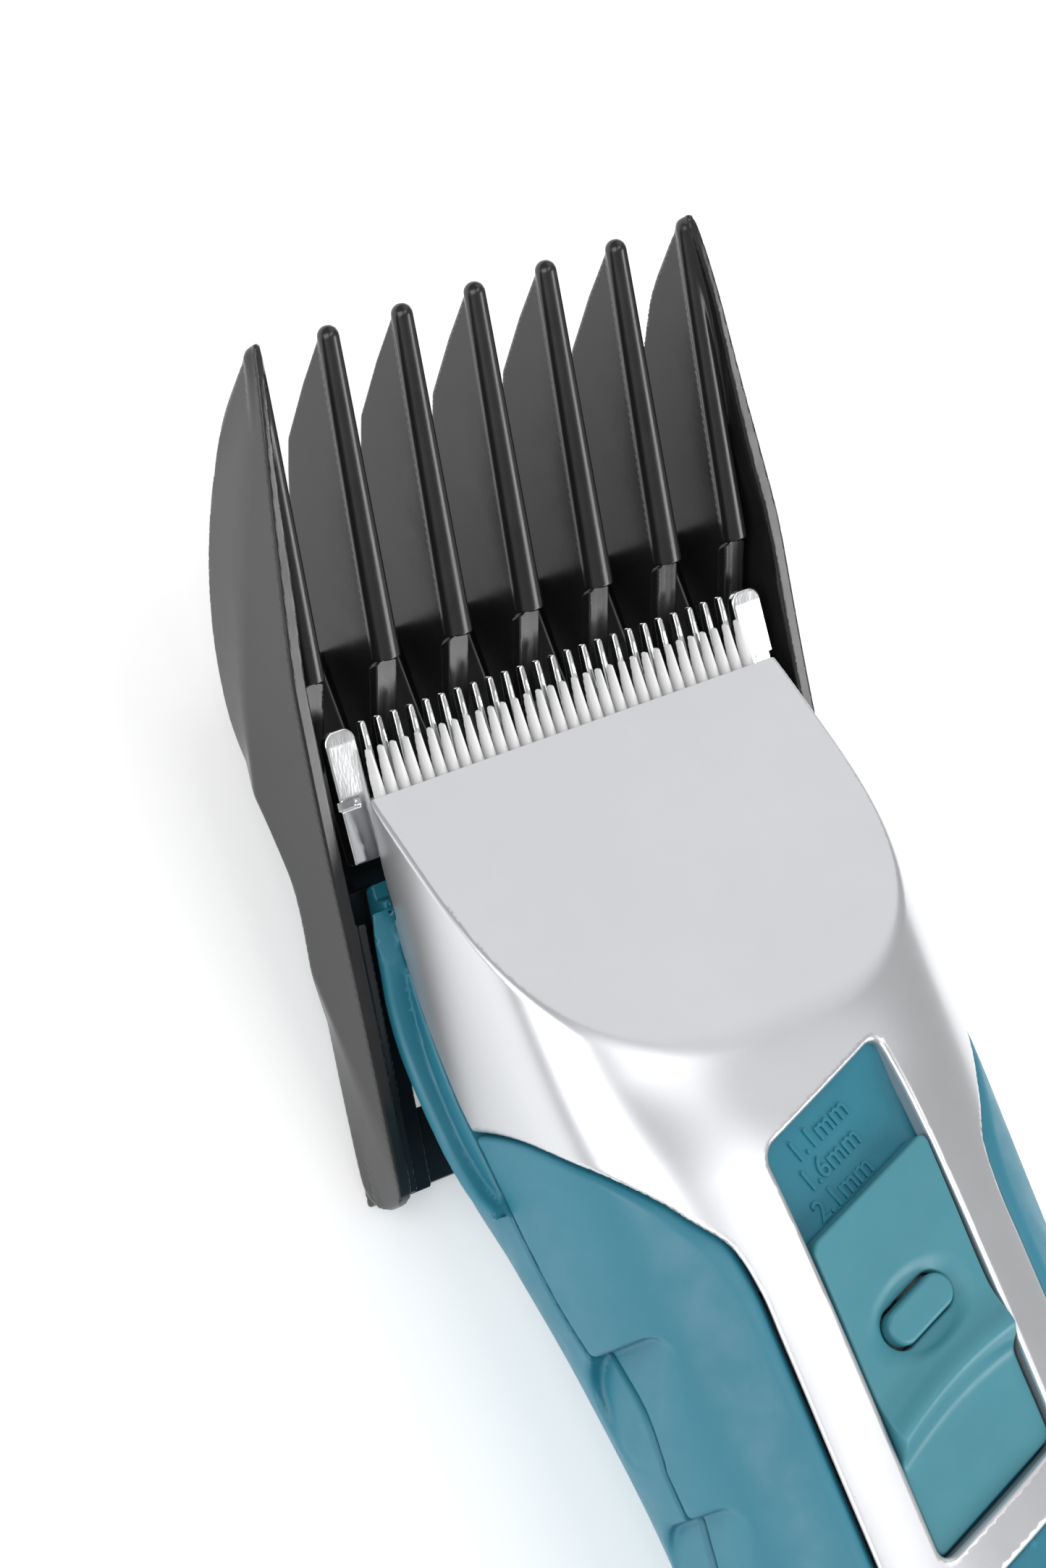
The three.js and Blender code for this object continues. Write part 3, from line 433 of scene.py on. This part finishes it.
SILVER = finish("silver_paint", (0.62, 0.63, 0.65), 0.30, 0.72, (9000, 0.05), 0.01, 1.0, (1, 1, 1), 0.03,
                Coat_Weight=0.25, Coat_Roughness=0.22)
TEAL = finish("teal_grip", (0.021, 0.185, 0.265), 0.46, 0.0, (5000, 0.10), 0.03, 1.0, Specular_IOR_Level=0.62)
CONTROL = finish("teal_control", (0.052, 0.230, 0.285), 0.42, 0.0, (4500, 0.07), 0.04, 1.0)
SUNKEN = finish("teal_floor", (0.014, 0.165, 0.235), 0.40, 0.0, (3500, 0.16), 0.06, 1.3)
BLACK = finish("comb_black", (0.012, 0.012, 0.013), 0.24, 0.0, (1600, 0.05), 0.12, 1.0,
               Specular_IOR_Level=0.6)
STEEL = finish("steel", (0.80, 0.81, 0.82), 0.16, 1.0, (5000, 0.06), 0.03, 1.1, (1, 0.12, 1), 0.35)
CERAMIC = finish("ceramic", (0.80, 0.80, 0.80), 0.30, 0.0, (7000, 0.04), 0.02, 1.08, Subsurface_Weight=0.08,
                 Subsurface_Radius=(0.001, 0.001, 0.001), Subsurface_Scale=0.5)
ZINC = finish("zinc", (0.42, 0.43, 0.45), 0.38, 1.0, (2500, 0.12), 0.08, 1.3)
INNER = finish("inner_plastic", (0.70, 0.70, 0.67), 0.55, 0.0, (3000, 0.10), 0.05, 1.1)
RUBBER = finish("rubber", (0.014, 0.015, 0.016), 0.72, 0.0, (2600, 0.35), 0.2, 2.2)
BOARD = finish("board", (0.015, 0.105, 0.035), 0.42, 0.0, (1800, 0.15), 0.25, 1.5)
BRASS = finish("brass", (0.60, 0.37, 0.11), 0.30, 1.0, (4000, 0.12), 0.08, 1.3)
SLEEVE = finish("cell_sleeve", (0.11, 0.28, 0.07), 0.36, 0.0, (900, 0.06), 0.08, 1.3, Coat_Weight=0.5)
LENS = finish("lens", (0.70, 0.90, 0.76), 0.12, 0.0, (3000, 0.03), 0.05, 1.05, Transmission_Weight=0.55)
BY_SLOT = {"silver_paint": SILVER, "teal_grip": TEAL, "teal_control": CONTROL, "comb_black": BLACK,
           "steel": STEEL, "ceramic": CERAMIC, "zinc": ZINC, "inner_plastic": INNER, "rubber": RUBBER,
           "board": BOARD, "brass": BRASS, "cell_sleeve": SLEEVE, "lens": LENS}


# ---------------------------------------------------------------- shells
def shield(y, z):
    return (z - SHIELD_Z - SHIELD_SLOPE * (SHIELD_Y - y)) / math.hypot(1, SHIELD_SLOPE)


def case(x, y, z):
    """The whole body's wall, before it is split into its shells."""
    around = tube(x, y, z)
    outside = common(around, shield(y, z), 0.35)
    thick = np.interp(np.abs(x), (15, 18), (WALL, SIDE_WALL))
    inside = np.maximum(around + thick, shield(y, z) + SHIELD_WALL)
    ends = between(y, SHELL_END_Y, FRONT_Y)
    return common(without(outside, inside, 0.3), ends, 0.3)


ALONG = [(y, float(front_height(STRIP_HALF, np.float64(y)))) for y in STRIP_ROWS]


def grip_region(x, y, z, grow):
    return common(above_line(GRIP_EDGE + ALONG, y, z) - grow, GRIP_INNER - grow - np.abs(x), 2.0)


def scallops(x, y, z):
    """Finger hollows along both sides: deep at the front end, running out to the rear."""
    first, pitch, length, count = -54.2, 14.6, 10.0, 4
    depth_x, runout, low, high = 18.75, 0.15, -4.5, 7.5
    k = np.clip(np.round((first - length / 2 - y) / pitch), 0, count - 1)
    behind = first - k * pitch - y
    across = np.abs(behind - length / 2) - length / 2
    floor = (depth_x + runout * behind - np.abs(x)) / math.hypot(1, runout)
    return common(common(across, between(z, low, high), 3.0), floor, 0.4)


def mouth(x, y, z, half, rear, low, high):
    """An opening for the blades, along their tilt."""
    ly, lz = tilted(y, z)
    return np.maximum(np.maximum(np.abs(x) - half, rear - ly), between(lz, low, high))


def front_shell(x, y, z):
    wall = common(case(x, y, z), HALF_GAP - above_line(PARTING, y, z), 0.25)
    wall = without(wall, grip_region(x, y, z, GAP), 0.45)
    wall = without(wall, mouth(x, y, z, *HEAD_OPENING), 0.1)
    for area in (RECESS, PANEL):
        wall = without(wall, slanted(x, y, area, 1.3), 0.5)
    return wall


def back_shell(x, y, z):
    below = above_line(PARTING, y, z) + HALF_GAP
    wall = common(case(x, y, z), below, 0.25)
    wall = np.maximum(wall, y - BACK_FRONT_Y)
    rim = above_line(FIN, y, z)
    fin = common(between(rim, 0, FIN_TALL), between(np.abs(x), *FIN_SIDES), 0.45)
    fin = np.maximum(common(fin, between(y, *FIN_ENDS), 0.5), -tube(x, y, z) - FIN_ROOT)
    fin = np.maximum(fin, below)
    wall = either(wall, fin, 0.3)
    path = LEDGE[0][1] + LEDGE_ROOM + COMB_SLOPE * (y - LEDGE[0][0])
    tall = np.maximum((path - z) / SLOPE_RUN, z - CORNER_TOP)
    corner = common(between(np.abs(x), *CORNER_SIDES), tall, 0.3)
    wall = either(wall, common(corner, between(y, *CORNER_ENDS), 0.3), 0.3)
    wall = without(wall, scallops(x, y, z), 0.5)
    for bay in BLADE_BAYS:
        wall = np.maximum(wall, -mouth(x, y, z, *bay))
    for sx, sy in SCREWS:
        bore = np.hypot(x - sx, y - sy)
        seat = common(bore - SEAT_RADIUS, between(z, SEAT_LOW, SEAT_HIGH), 0.2)
        seat = seat + np.maximum(tube(x, y, z) + 0.4, 0)      # ends inside the wall
        wall = either(wall, seat, 0.3)
        wall = without(wall, np.maximum(bore - BORE_RADIUS, z - SEAT_HIGH), 0.3)
    return wall


def soft_grip(side):
    def shape(x, y, z):
        wall = common(case(x, y, z), HALF_GAP - above_line(PARTING, y, z), 0.35)
        wall = common(wall, grip_region(x, y, z, 0), 0.4)
        return np.maximum(without(wall, scallops(x, y, z), 0.6), -side * x)
    return shape


def tail_cover(x, y, z):
    around = tube(x, np.full_like(y, SHELL_END_Y), z)
    cap = common(common(around, TAIL_Y - y, TAIL_ROUND), y - SHELL_END_Y + GAP, 0.3)
    shell = without(cap, np.maximum(around + TAIL_WALL, TAIL_Y + TAIL_END_WALL - y), 0.3)
    socket = np.maximum(np.hypot(x, z - SOCKET_Z) - SOCKET_RADIUS, y - SOCKET_END_Y)
    return without(shell, socket, 0.4)


def rest_pad(x, y, z):
    beyond = np.maximum(y - PAD_FRONT_Y, 0) + np.maximum(PAD_REAR_Y - y, 0)
    pad = common(np.hypot(x, beyond) - PAD_RADIUS, LOWEST_Z - z, 0.5)
    across = np.abs((y / GROOVE_PITCH) % 1 - 0.5) * GROOVE_PITCH - GROOVE_HALF
    grooves = np.maximum(np.maximum(across, LOWEST_Z - z), z - LOWEST_Z - GROOVE_DEPTH)
    grooves = np.maximum(grooves, np.abs(x) - GROOVE_REACH)
    return np.maximum(without(pad, grooves, 0.15), np.maximum(GAP - tube(x, y, z), z - PAD_ROOT_Z))


# ---------------------------------------------------------------- controls
def recess_floor(x, y, z):
    plate = common(slanted(x, y, RECESS_PLATE, 1.0), between(z, FLOOR_Z - PLATE_THICK, FLOOR_Z), 0.15)
    return without(plate, slanted(x, y, RECESS_SLOT, 0.8), 0.2)


# Tops of the sliders along their middle line, as y and z.
SLIDER_TOP = [(-45, 13.3), (-56, 13.3), (-62.6, 13.3), (-64.6, 13.85), (-65.9, 14.55), (-66.6, 14.65),
              (-67.3, 14.2), (-68.4, 13.05), (-69.3, 12.8), (-73, 12.8), (-80, 12.8)]
POWER_TOP = [(-92, 13.3), (-98.6, 13.3), (-100, 13.7), (-101.4, 14.25), (-102.2, 14.2), (-103, 13.7),
             (-103.8, 13.3), (-110, 13.3)]


def turned(x, y, centre):
    """Coordinates along and across the slant, from a point on the middle line."""
    turn = math.atan(SLANT)
    u = x * math.cos(turn) + (y - centre) * math.sin(turn)
    v = (y - centre) * math.cos(turn) - x * math.sin(turn)
    return u, v


def oblong(x, y, centre, length, width):
    u, v = turned(x, y, centre)
    return np.hypot(np.maximum(np.abs(u) - (length - width) / 2, 0), v) - width / 2


def slider_cap(x, y, z):
    """The cap, with a bowed thumb ridge, a dish round the button and the button's hole."""
    bow, start = 0.7, 0.3
    dish_half, dish_wide, dish_deep, dish_z, dish_scale = 5.2, 3.0, 1.1, 13.45, 1.6
    along = y - SLANT * x
    bowed = along + bow * (x / SLIDER[0]) ** 2 - start
    cap = common(slanted(x, y, SLIDER, 0.9), above_line(SLIDER_TOP, bowed, z), 0.28)
    cap = common(cap, SLIDER_LOW - z, 0.15)
    u, v = turned(x, y, LOCK_Y)
    reach = np.sqrt((u / dish_half) ** 2 + (v / dish_wide) ** 2 + ((z - dish_z) / dish_deep) ** 2)
    cap = without(cap, (reach - 1) * dish_scale, 0.35)
    return without(cap, oblong(x, y, LOCK_Y, *LOCK_HOLE), 0.15)


def lock_cap(x, y, z):
    return common(oblong(x, y, LOCK_Y, *LOCK_SIZE), between(z, LOCK_LOW, LOCK_TOP), 0.4)


def panel_cover(x, y, z):
    plug = common(slanted(x, y, PANEL_PLUG, 1.0), between(z, PLUG_LOW, PLUG_TOP), 0.35)
    base = common(slanted(x, y, PANEL_BASE, 1.0), between(z, BASE_LOW, FLOOR_Z), 0.2)
    bed = np.maximum(slanted(x, y, POWER_BED, 1.0), BED_Z - z)
    slot = np.maximum(between(y, *POWER_SLOT), np.abs(x) - POWER_SLOT_HALF)
    hole = np.hypot(x, y - LENS_Y) - LENS_HOLE
    return without(without(without(either(plug, base, 0.1), bed, 0.3), slot, 0.1), hole, 0.25)


def power_cap(x, y, z):
    top = above_line(POWER_TOP, y - SLANT * x, z)
    return common(common(slanted(x, y, POWER_CAP, 0.9), top, 0.3), POWER_LOW - z, 0.15)


def indicator(x, y, z):
    round_radius, flatter = 1.6, 1.1
    dome = np.sqrt(x * x + (y - LENS_Y) ** 2 + ((z - LENS_Z) * flatter) ** 2) - round_radius
    return common(np.hypot(x, y - LENS_Y) - LENS_RADIUS, np.maximum(dome, LENS_LOW - z), 0.1)


# ---------------------------------------------------------------- cutting head
def steel_blade(x, y, z):
    """The fixed blade: a stepped plate, tapered teeth, a wide tooth at each end and a notch behind it."""
    half, rear_half, length, pitch = 22.4, 17.5, 6.5, 1.6
    root_half, taper, last_tooth, wide_from = 0.42, 0.17, 19.3, 19.45
    thick, thinning, chamfer, chamfer_from = 1.4, 0.7, 0.25, 0.8
    y, z = tilted(y, z)
    plate = np.maximum(between(y, -11, -6.2), np.abs(x) - half)
    plate = np.minimum(plate, np.maximum(between(y, -22, -10), np.abs(x) - rear_half))
    along = np.clip((y + length) / length, 0, 1)
    beside = np.abs((x / pitch) % 1 - 0.5) * pitch
    tooth = common(common(beside - (root_half - taper * along), y, 0.2), np.abs(x) - last_tooth, 0.01)
    tooth = np.maximum(tooth, -6.9 - y)
    wide = common(between(np.abs(x), wide_from, half), y + 0.1, 1.0)
    wide = np.maximum(wide, -6.6 - y)
    outline = np.minimum(np.minimum(plate, tooth), wide)
    low = -thick + thinning * along
    tall = np.maximum(low - z, z + chamfer * np.maximum(along - chamfer_from, 0))
    blade = common(outline, tall, 0.16)
    notch = np.maximum(between(y, -6.5, -5.8), -0.5 - z)
    return without(blade, np.maximum(notch, 20.6 - np.abs(x)), 0.12)


def ceramic_blade(x, y, z):
    """The moving blade: a plate with rounded ridges that taper towards their tips."""
    pitch, blade_half, low, top, tip, root, rear = 1.225, 19.37, 0.3, 0.95, -2.2, -6.5, -14
    y, z = tilted(y, z)
    along = np.clip((y + 6.7) / 4.5, 0, 1)
    beside = np.abs((x / pitch) % 1 - 0.5) * pitch
    half = 0.5 - 0.34 * along ** 1.4
    tall = 1.2 - 0.45 * along
    ridge = (np.hypot(beside / half, np.maximum(z - low, 0) / tall) - 1) * half * 0.9
    ridge = common(np.maximum(ridge, low - z), y - tip, 0.15)
    body = np.maximum(np.maximum(between(z, low, top), y - root), np.abs(x) - blade_half)
    blade = np.maximum(either(ridge, body, 0.1), np.abs(x) - blade_half)
    return np.maximum(blade, rear - y)


# ---------------------------------------------------------------- guide comb
TOOTH = [(28.5, 11.5), (4.1, 0.6), (-2.5, -4.9), (-6, -8.4), (-6, -9.8), (0, -10.1), (6.6, -9.5), (10, -8.6),
         (12.7, -7.5), (15.2, -6), (19.7, -2.8), (21.5, -1.4), (23.7, 0.6), (26.6, 6.0), (28.9, 11.0)]
COMB_FLOOR = [(7.5, -9.2), (0, -10.1), (-10.7, -9.9), (-12.3, -10.4), (-12.3, -9.2), (-10.7, -8.6), (0, -8.7),
              (7.5, -8.0)]
CROSSBAR = [(-29.8, -15.8), (-35.9, -18.4), (-35.9, LOWEST_Z), (-29.8, -17.3)]
FOOT = [(4.0, 0.6), (-2.5, -4.9), (-2.5, -6.2), (4.0, -0.9)]


def comb_teeth(x, y, z):
    """Thin plates, each with a rounded rod along its upper edge and a thicker foot."""
    plate_half, tip_half, widening, end_slimmer, foot_half = 0.6, 0.9, 0.3, 0.85, 1.05
    number = np.clip(np.round(x / COMB_PITCH), -LAST_TOOTH, LAST_TOOTH)
    at_end = np.abs(number) == LAST_TOOTH
    beside = np.abs(x - number * COMB_PITCH)
    plate = common(beside - plate_half, polygon(y, z, TOOTH), 0.3)
    behind_wall = (through(COMB_WALL, y)[3] + 0.4 - z) * 0.7
    plate = np.where(at_end, np.maximum(plate, behind_wall), plate)
    start, end = np.array(TOOTH[0]), np.array(TOOTH[1])
    run = end - start
    raw = ((y - start[0]) * run[0] + (z - start[1]) * run[1]) / (run @ run)
    t = np.clip(raw, 0, 1)
    off = np.hypot(y - start[0] - t * run[0], z - start[1] - t * run[1])
    slim = np.where(at_end, end_slimmer, 1.0)
    rod = np.hypot(beside, off) - (tip_half + widening * t) * slim
    rod = common(rod, (raw - 1) * math.hypot(*run), 0.15)
    foot = common(beside - foot_half, polygon(y, z, FOOT), 0.15)
    return either(either(plate, rod, 0.12), foot, 0.1)


def comb_walls(x, y, z):
    """The side walls; below the crease they lean in."""
    half, wall, rim, back = through(COMB_WALL, y)
    half = np.minimum(half, COMB_HALF)
    x = np.abs(x)
    across = np.maximum(x - half, half - wall - x)
    tall = np.maximum(back - z, z - rim) * 0.85
    body = common(across, tall, 0.22)
    crease = through(CREASE, y)[0]
    lean = 0.55 * wall / np.maximum(crease - back, 2.0)       # to about half the wall at its lower edge
    body = common(body, (x - half + lean * (crease - z)) / np.hypot(1, lean), 0.12)
    return common(body, between(y, COMB_REAR_Y, COMB_TIP_Y), 0.4)


def guide_comb(x, y, z):
    walls = comb_walls(x, y, z)
    teeth = comb_teeth(x, y, z)
    floor = common(polygon(y, z, COMB_FLOOR), np.abs(x) - FLOOR_HALF, 0.1)
    bar = common(common(polygon(y, z, CROSSBAR), np.abs(x) - BAR_HALF, 0.1), LOWEST_Z - z, 0.2)
    rail = common(polygon(y, z, RAIL), between(np.abs(x), *RAIL_SIDES), 0.15)
    ledge = common(polygon(y, z, LEDGE), between(np.abs(x), *LEDGE_SIDES), 0.15)
    across = np.minimum(np.minimum(floor, bar), np.minimum(rail, ledge))
    return np.maximum(either(either(walls, teeth, 0.5), across, 0.35), y - COMB_TIP_Y)


# ---------------------------------------------------------------- screws seen from behind
def screw_head(sx, sy):
    def shape(x, y, z):
        seat = screw_seat(sx, sy)
        across, along = np.abs(x - sx), np.abs(y - sy)
        round_head = np.hypot(x - sx, y - sy) - SCREW_RADIUS
        head = common(round_head, between(z, seat, seat + SCREW_TALL), 0.35)
        arms = np.minimum(np.maximum(across - CROSS_HALF, along - CROSS_REACH),
                          np.maximum(along - CROSS_HALF, across - CROSS_REACH))
        return without(head, np.maximum(arms, z - seat - CROSS_DEPTH), 0.08)
    return shape


def screw_seat(sx, sy):
    """The height of a screw's head, a little inside the back surface."""
    half, top, bottom, power = through(STATIONS, np.float64(sy))
    drop = (1 - (abs(sx) / half) ** power) ** (1 / power)
    return (top + bottom) / 2 - (top - bottom) / 2 * drop + SCREW_DEPTH


# ---------------------------------------------------------------- the pieces
def build(name, node, shape, low, high, step, material):
    """A piece sampled between two corners with a grid of the given step, standing for a CAD node."""
    return stands_for(solid(name, shape, low, high, step), node, material)


build("front_shell", "upper_housing", front_shell, (-22, -153, -6), (22, -5, 15),
      (0.38, 0.4, 0.2), SILVER)
build("back_shell", "lower_housing", back_shell, (-23, -153, -19), (23, -9, 3), (0.4, 0.42, 0.3),
      TEAL)
for side, label in ((-1, "left"), (1, "right")):
    near, far = sorted((side * 10.5, side * 21.5))
    build(f"{label}_soft_grip", f"{label}_grip", soft_grip(side), (near, -153, -7),
          (far, -32, 13.5), (0.3, 0.36, 0.3), TEAL)
build("tail_cover", "tail_cap", tail_cover, (-20, -160.5, -19), (20, -151.5, 12), 0.34, TEAL)
build("rubber_foot", "rest_pad", rest_pad, (-8.5, -147.5, -20.2), (8.5, -120.5, -12), 0.22, RUBBER)
build("recess_floor", "scale_plate", recess_floor, (-10, -84, 9), (10, -35, 12), 0.3, SUNKEN)
build("slider_cap", "length_slider", slider_cap, (-8, -80, 11), (8, -46, 15.5), 0.15, CONTROL)
build("lock_cap", "lock_button", lock_cap, (-5, -64.5, 11.5), (5, -56.5, 14), 0.12, CONTROL)
build("panel_cover", "front_panel", panel_cover, (-10, -125, 9), (10, -74, 13.5), 0.25,
      SUNKEN)
build("power_cap", "power_slider", power_cap, (-6.5, -111, 11.8), (6.5, -91, 15), 0.16,
      CONTROL)
build("indicator_dome", "indicator_lens", indicator, (-1.6, -114.6, 9.6), (1.6, -111.4, 13.4), 0.09,
      LENS)
build("steel_comb_blade", "fixed_blade", steel_blade, (-23, -22, -8.5), (23, 1, 1.5),
      (0.12, 0.17, 0.12), STEEL)
build("ceramic_blade", "moving_blade", ceramic_blade, (-20, -15, -4.5), (20, -1, 2.5),
      (0.12, 0.17, 0.12), CERAMIC)
build("attachment_comb", "guide_comb", guide_comb, (-25.5, -37.5, -20.2), (25.5, 30.6, 14),
      (0.2, 0.3, 0.3), BLACK)
for number, (sx, sy) in enumerate(SCREWS, 1):
    seat = screw_seat(sx, sy)
    build(f"cross_screw_{number}", f"housing_screw_{number}", screw_head(sx, sy),
          (sx - 3, sy - 3, seat - 0.3), (sx + 3, sy + 3, seat + 2), 0.12, STEEL)


def scale_marks():
    """Raised cutting lengths on the recess floor."""
    size, raised, left, bevel, rounding = 2.55, 0.16, -4.0, 0.00004, 3
    for line, (label, y) in enumerate((("1.1mm", -44.9), ("1.6mm", -47.4), ("2.1mm", -49.9)), 1):
        curve = bpy.data.curves.new(f"scale_mark_{line}", "FONT")
        curve.body = label
        curve.size = size / 1000
        curve.extrude = raised / 1000
        curve.bevel_depth = bevel
        curve.resolution_u = rounding
        text = bpy.data.objects.new("scale_text", curve)
        bpy.context.scene.collection.objects.link(text)
        text.location = Vector((np.array([left, y + SLANT * left, FLOOR_Z]) + HEAD) / 1000)
        text.rotation_euler = (0, 0, math.atan(SLANT))
        bpy.context.view_layer.update()
        mesh = bpy.data.meshes.new_from_object(text.evaluated_get(bpy.context.evaluated_depsgraph_get()))
        mesh.transform(text.matrix_world)
        bpy.data.objects.remove(text)
        mark = bpy.data.objects.new(f"scale_mark_{line}", mesh)
        bpy.context.scene.collection.objects.link(mark)
        mesh.materials.clear()
        mesh.materials.append(SUNKEN)
        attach(mark, "housing")


scale_marks()

for row in frame["record"]["subparts"]:
    node = frame["nodes"][row["node"]]
    node.data.materials.clear()
    node.data.materials.append(BY_SLOT[row["material_slot"]])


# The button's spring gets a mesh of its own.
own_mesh(frame["nodes"]["lock_spring"])


# ---------------------------------------------------------------- stage, light and camera
def stage():
    """A plain pale floor that glows a little, so that the object's shadow stays soft."""
    half, pale, rough, glow = 3.0, 0.93, 0.9, 0.35
    mesh = bpy.data.meshes.new("floor")
    corners = [(-half, -half, 0), (half, -half, 0), (half, half, 0), (-half, half, 0)]
    mesh.from_pydata(corners, [], [(0, 1, 2, 3)])
    floor = bpy.data.objects.new("floor", mesh)
    bpy.context.scene.collection.objects.link(floor)
    paper = bpy.data.materials.new("paper")
    paper.use_nodes = True
    surface = paper.node_tree.nodes["Principled BSDF"].inputs
    surface["Base Color"].default_value = (pale, pale, pale, 1)
    surface["Roughness"].default_value = rough
    surface["Emission Color"].default_value = (1, 1, 1, 1)
    surface["Emission Strength"].default_value = glow
    mesh.materials.append(paper)


def softbox(name, towards, size, glow, distance=1.2):
    """A soft panel in the given direction; glow is how bright it looks, whatever its size."""
    light = bpy.data.lights.new(name, "AREA")
    light.shape = "RECTANGLE"
    light.size, light.size_y = size
    light.energy = glow * math.pi * size[0] * size[1]
    lamp = bpy.data.objects.new(name, light)
    bpy.context.scene.collection.objects.link(lamp)
    lamp.location = Vector(towards).normalized() * distance
    lamp.rotation_euler = lamp.location.to_track_quat("Z", "Y").to_euler()


def camera():
    view = bpy.data.cameras.new("camera")
    view.lens = FOCAL
    view.sensor_width = SENSOR
    eye = bpy.data.objects.new("camera", view)
    bpy.context.scene.collection.objects.link(eye)
    eye.location = Vector((np.array(EYE) + HEAD) / 1000)
    eye.rotation_euler = Euler([math.radians(a) for a in EYE_TURN])
    bpy.context.scene.camera = eye


stage()
softbox("left", (-0.72, 0.08, 0.65), (0.75, 1.1), 2.9)
softbox("top", (0.13, 0.08, 0.99), (0.45, 0.9), 2.2)
softbox("rear", (0.53, -0.60, 0.55), (0.8, 0.7), 5.5)
softbox("front", (0.53, 0.63, 0.57), (0.8, 0.8), 0.75)
world = bpy.data.worlds.new("studio")
world.use_nodes = True
sky = world.node_tree.nodes["Background"].inputs
sky["Color"].default_value = (1, 1, 1, 1)
sky["Strength"].default_value = 0.35
bpy.context.scene.world = world
bpy.context.scene.view_settings.view_transform = "Standard"
camera()
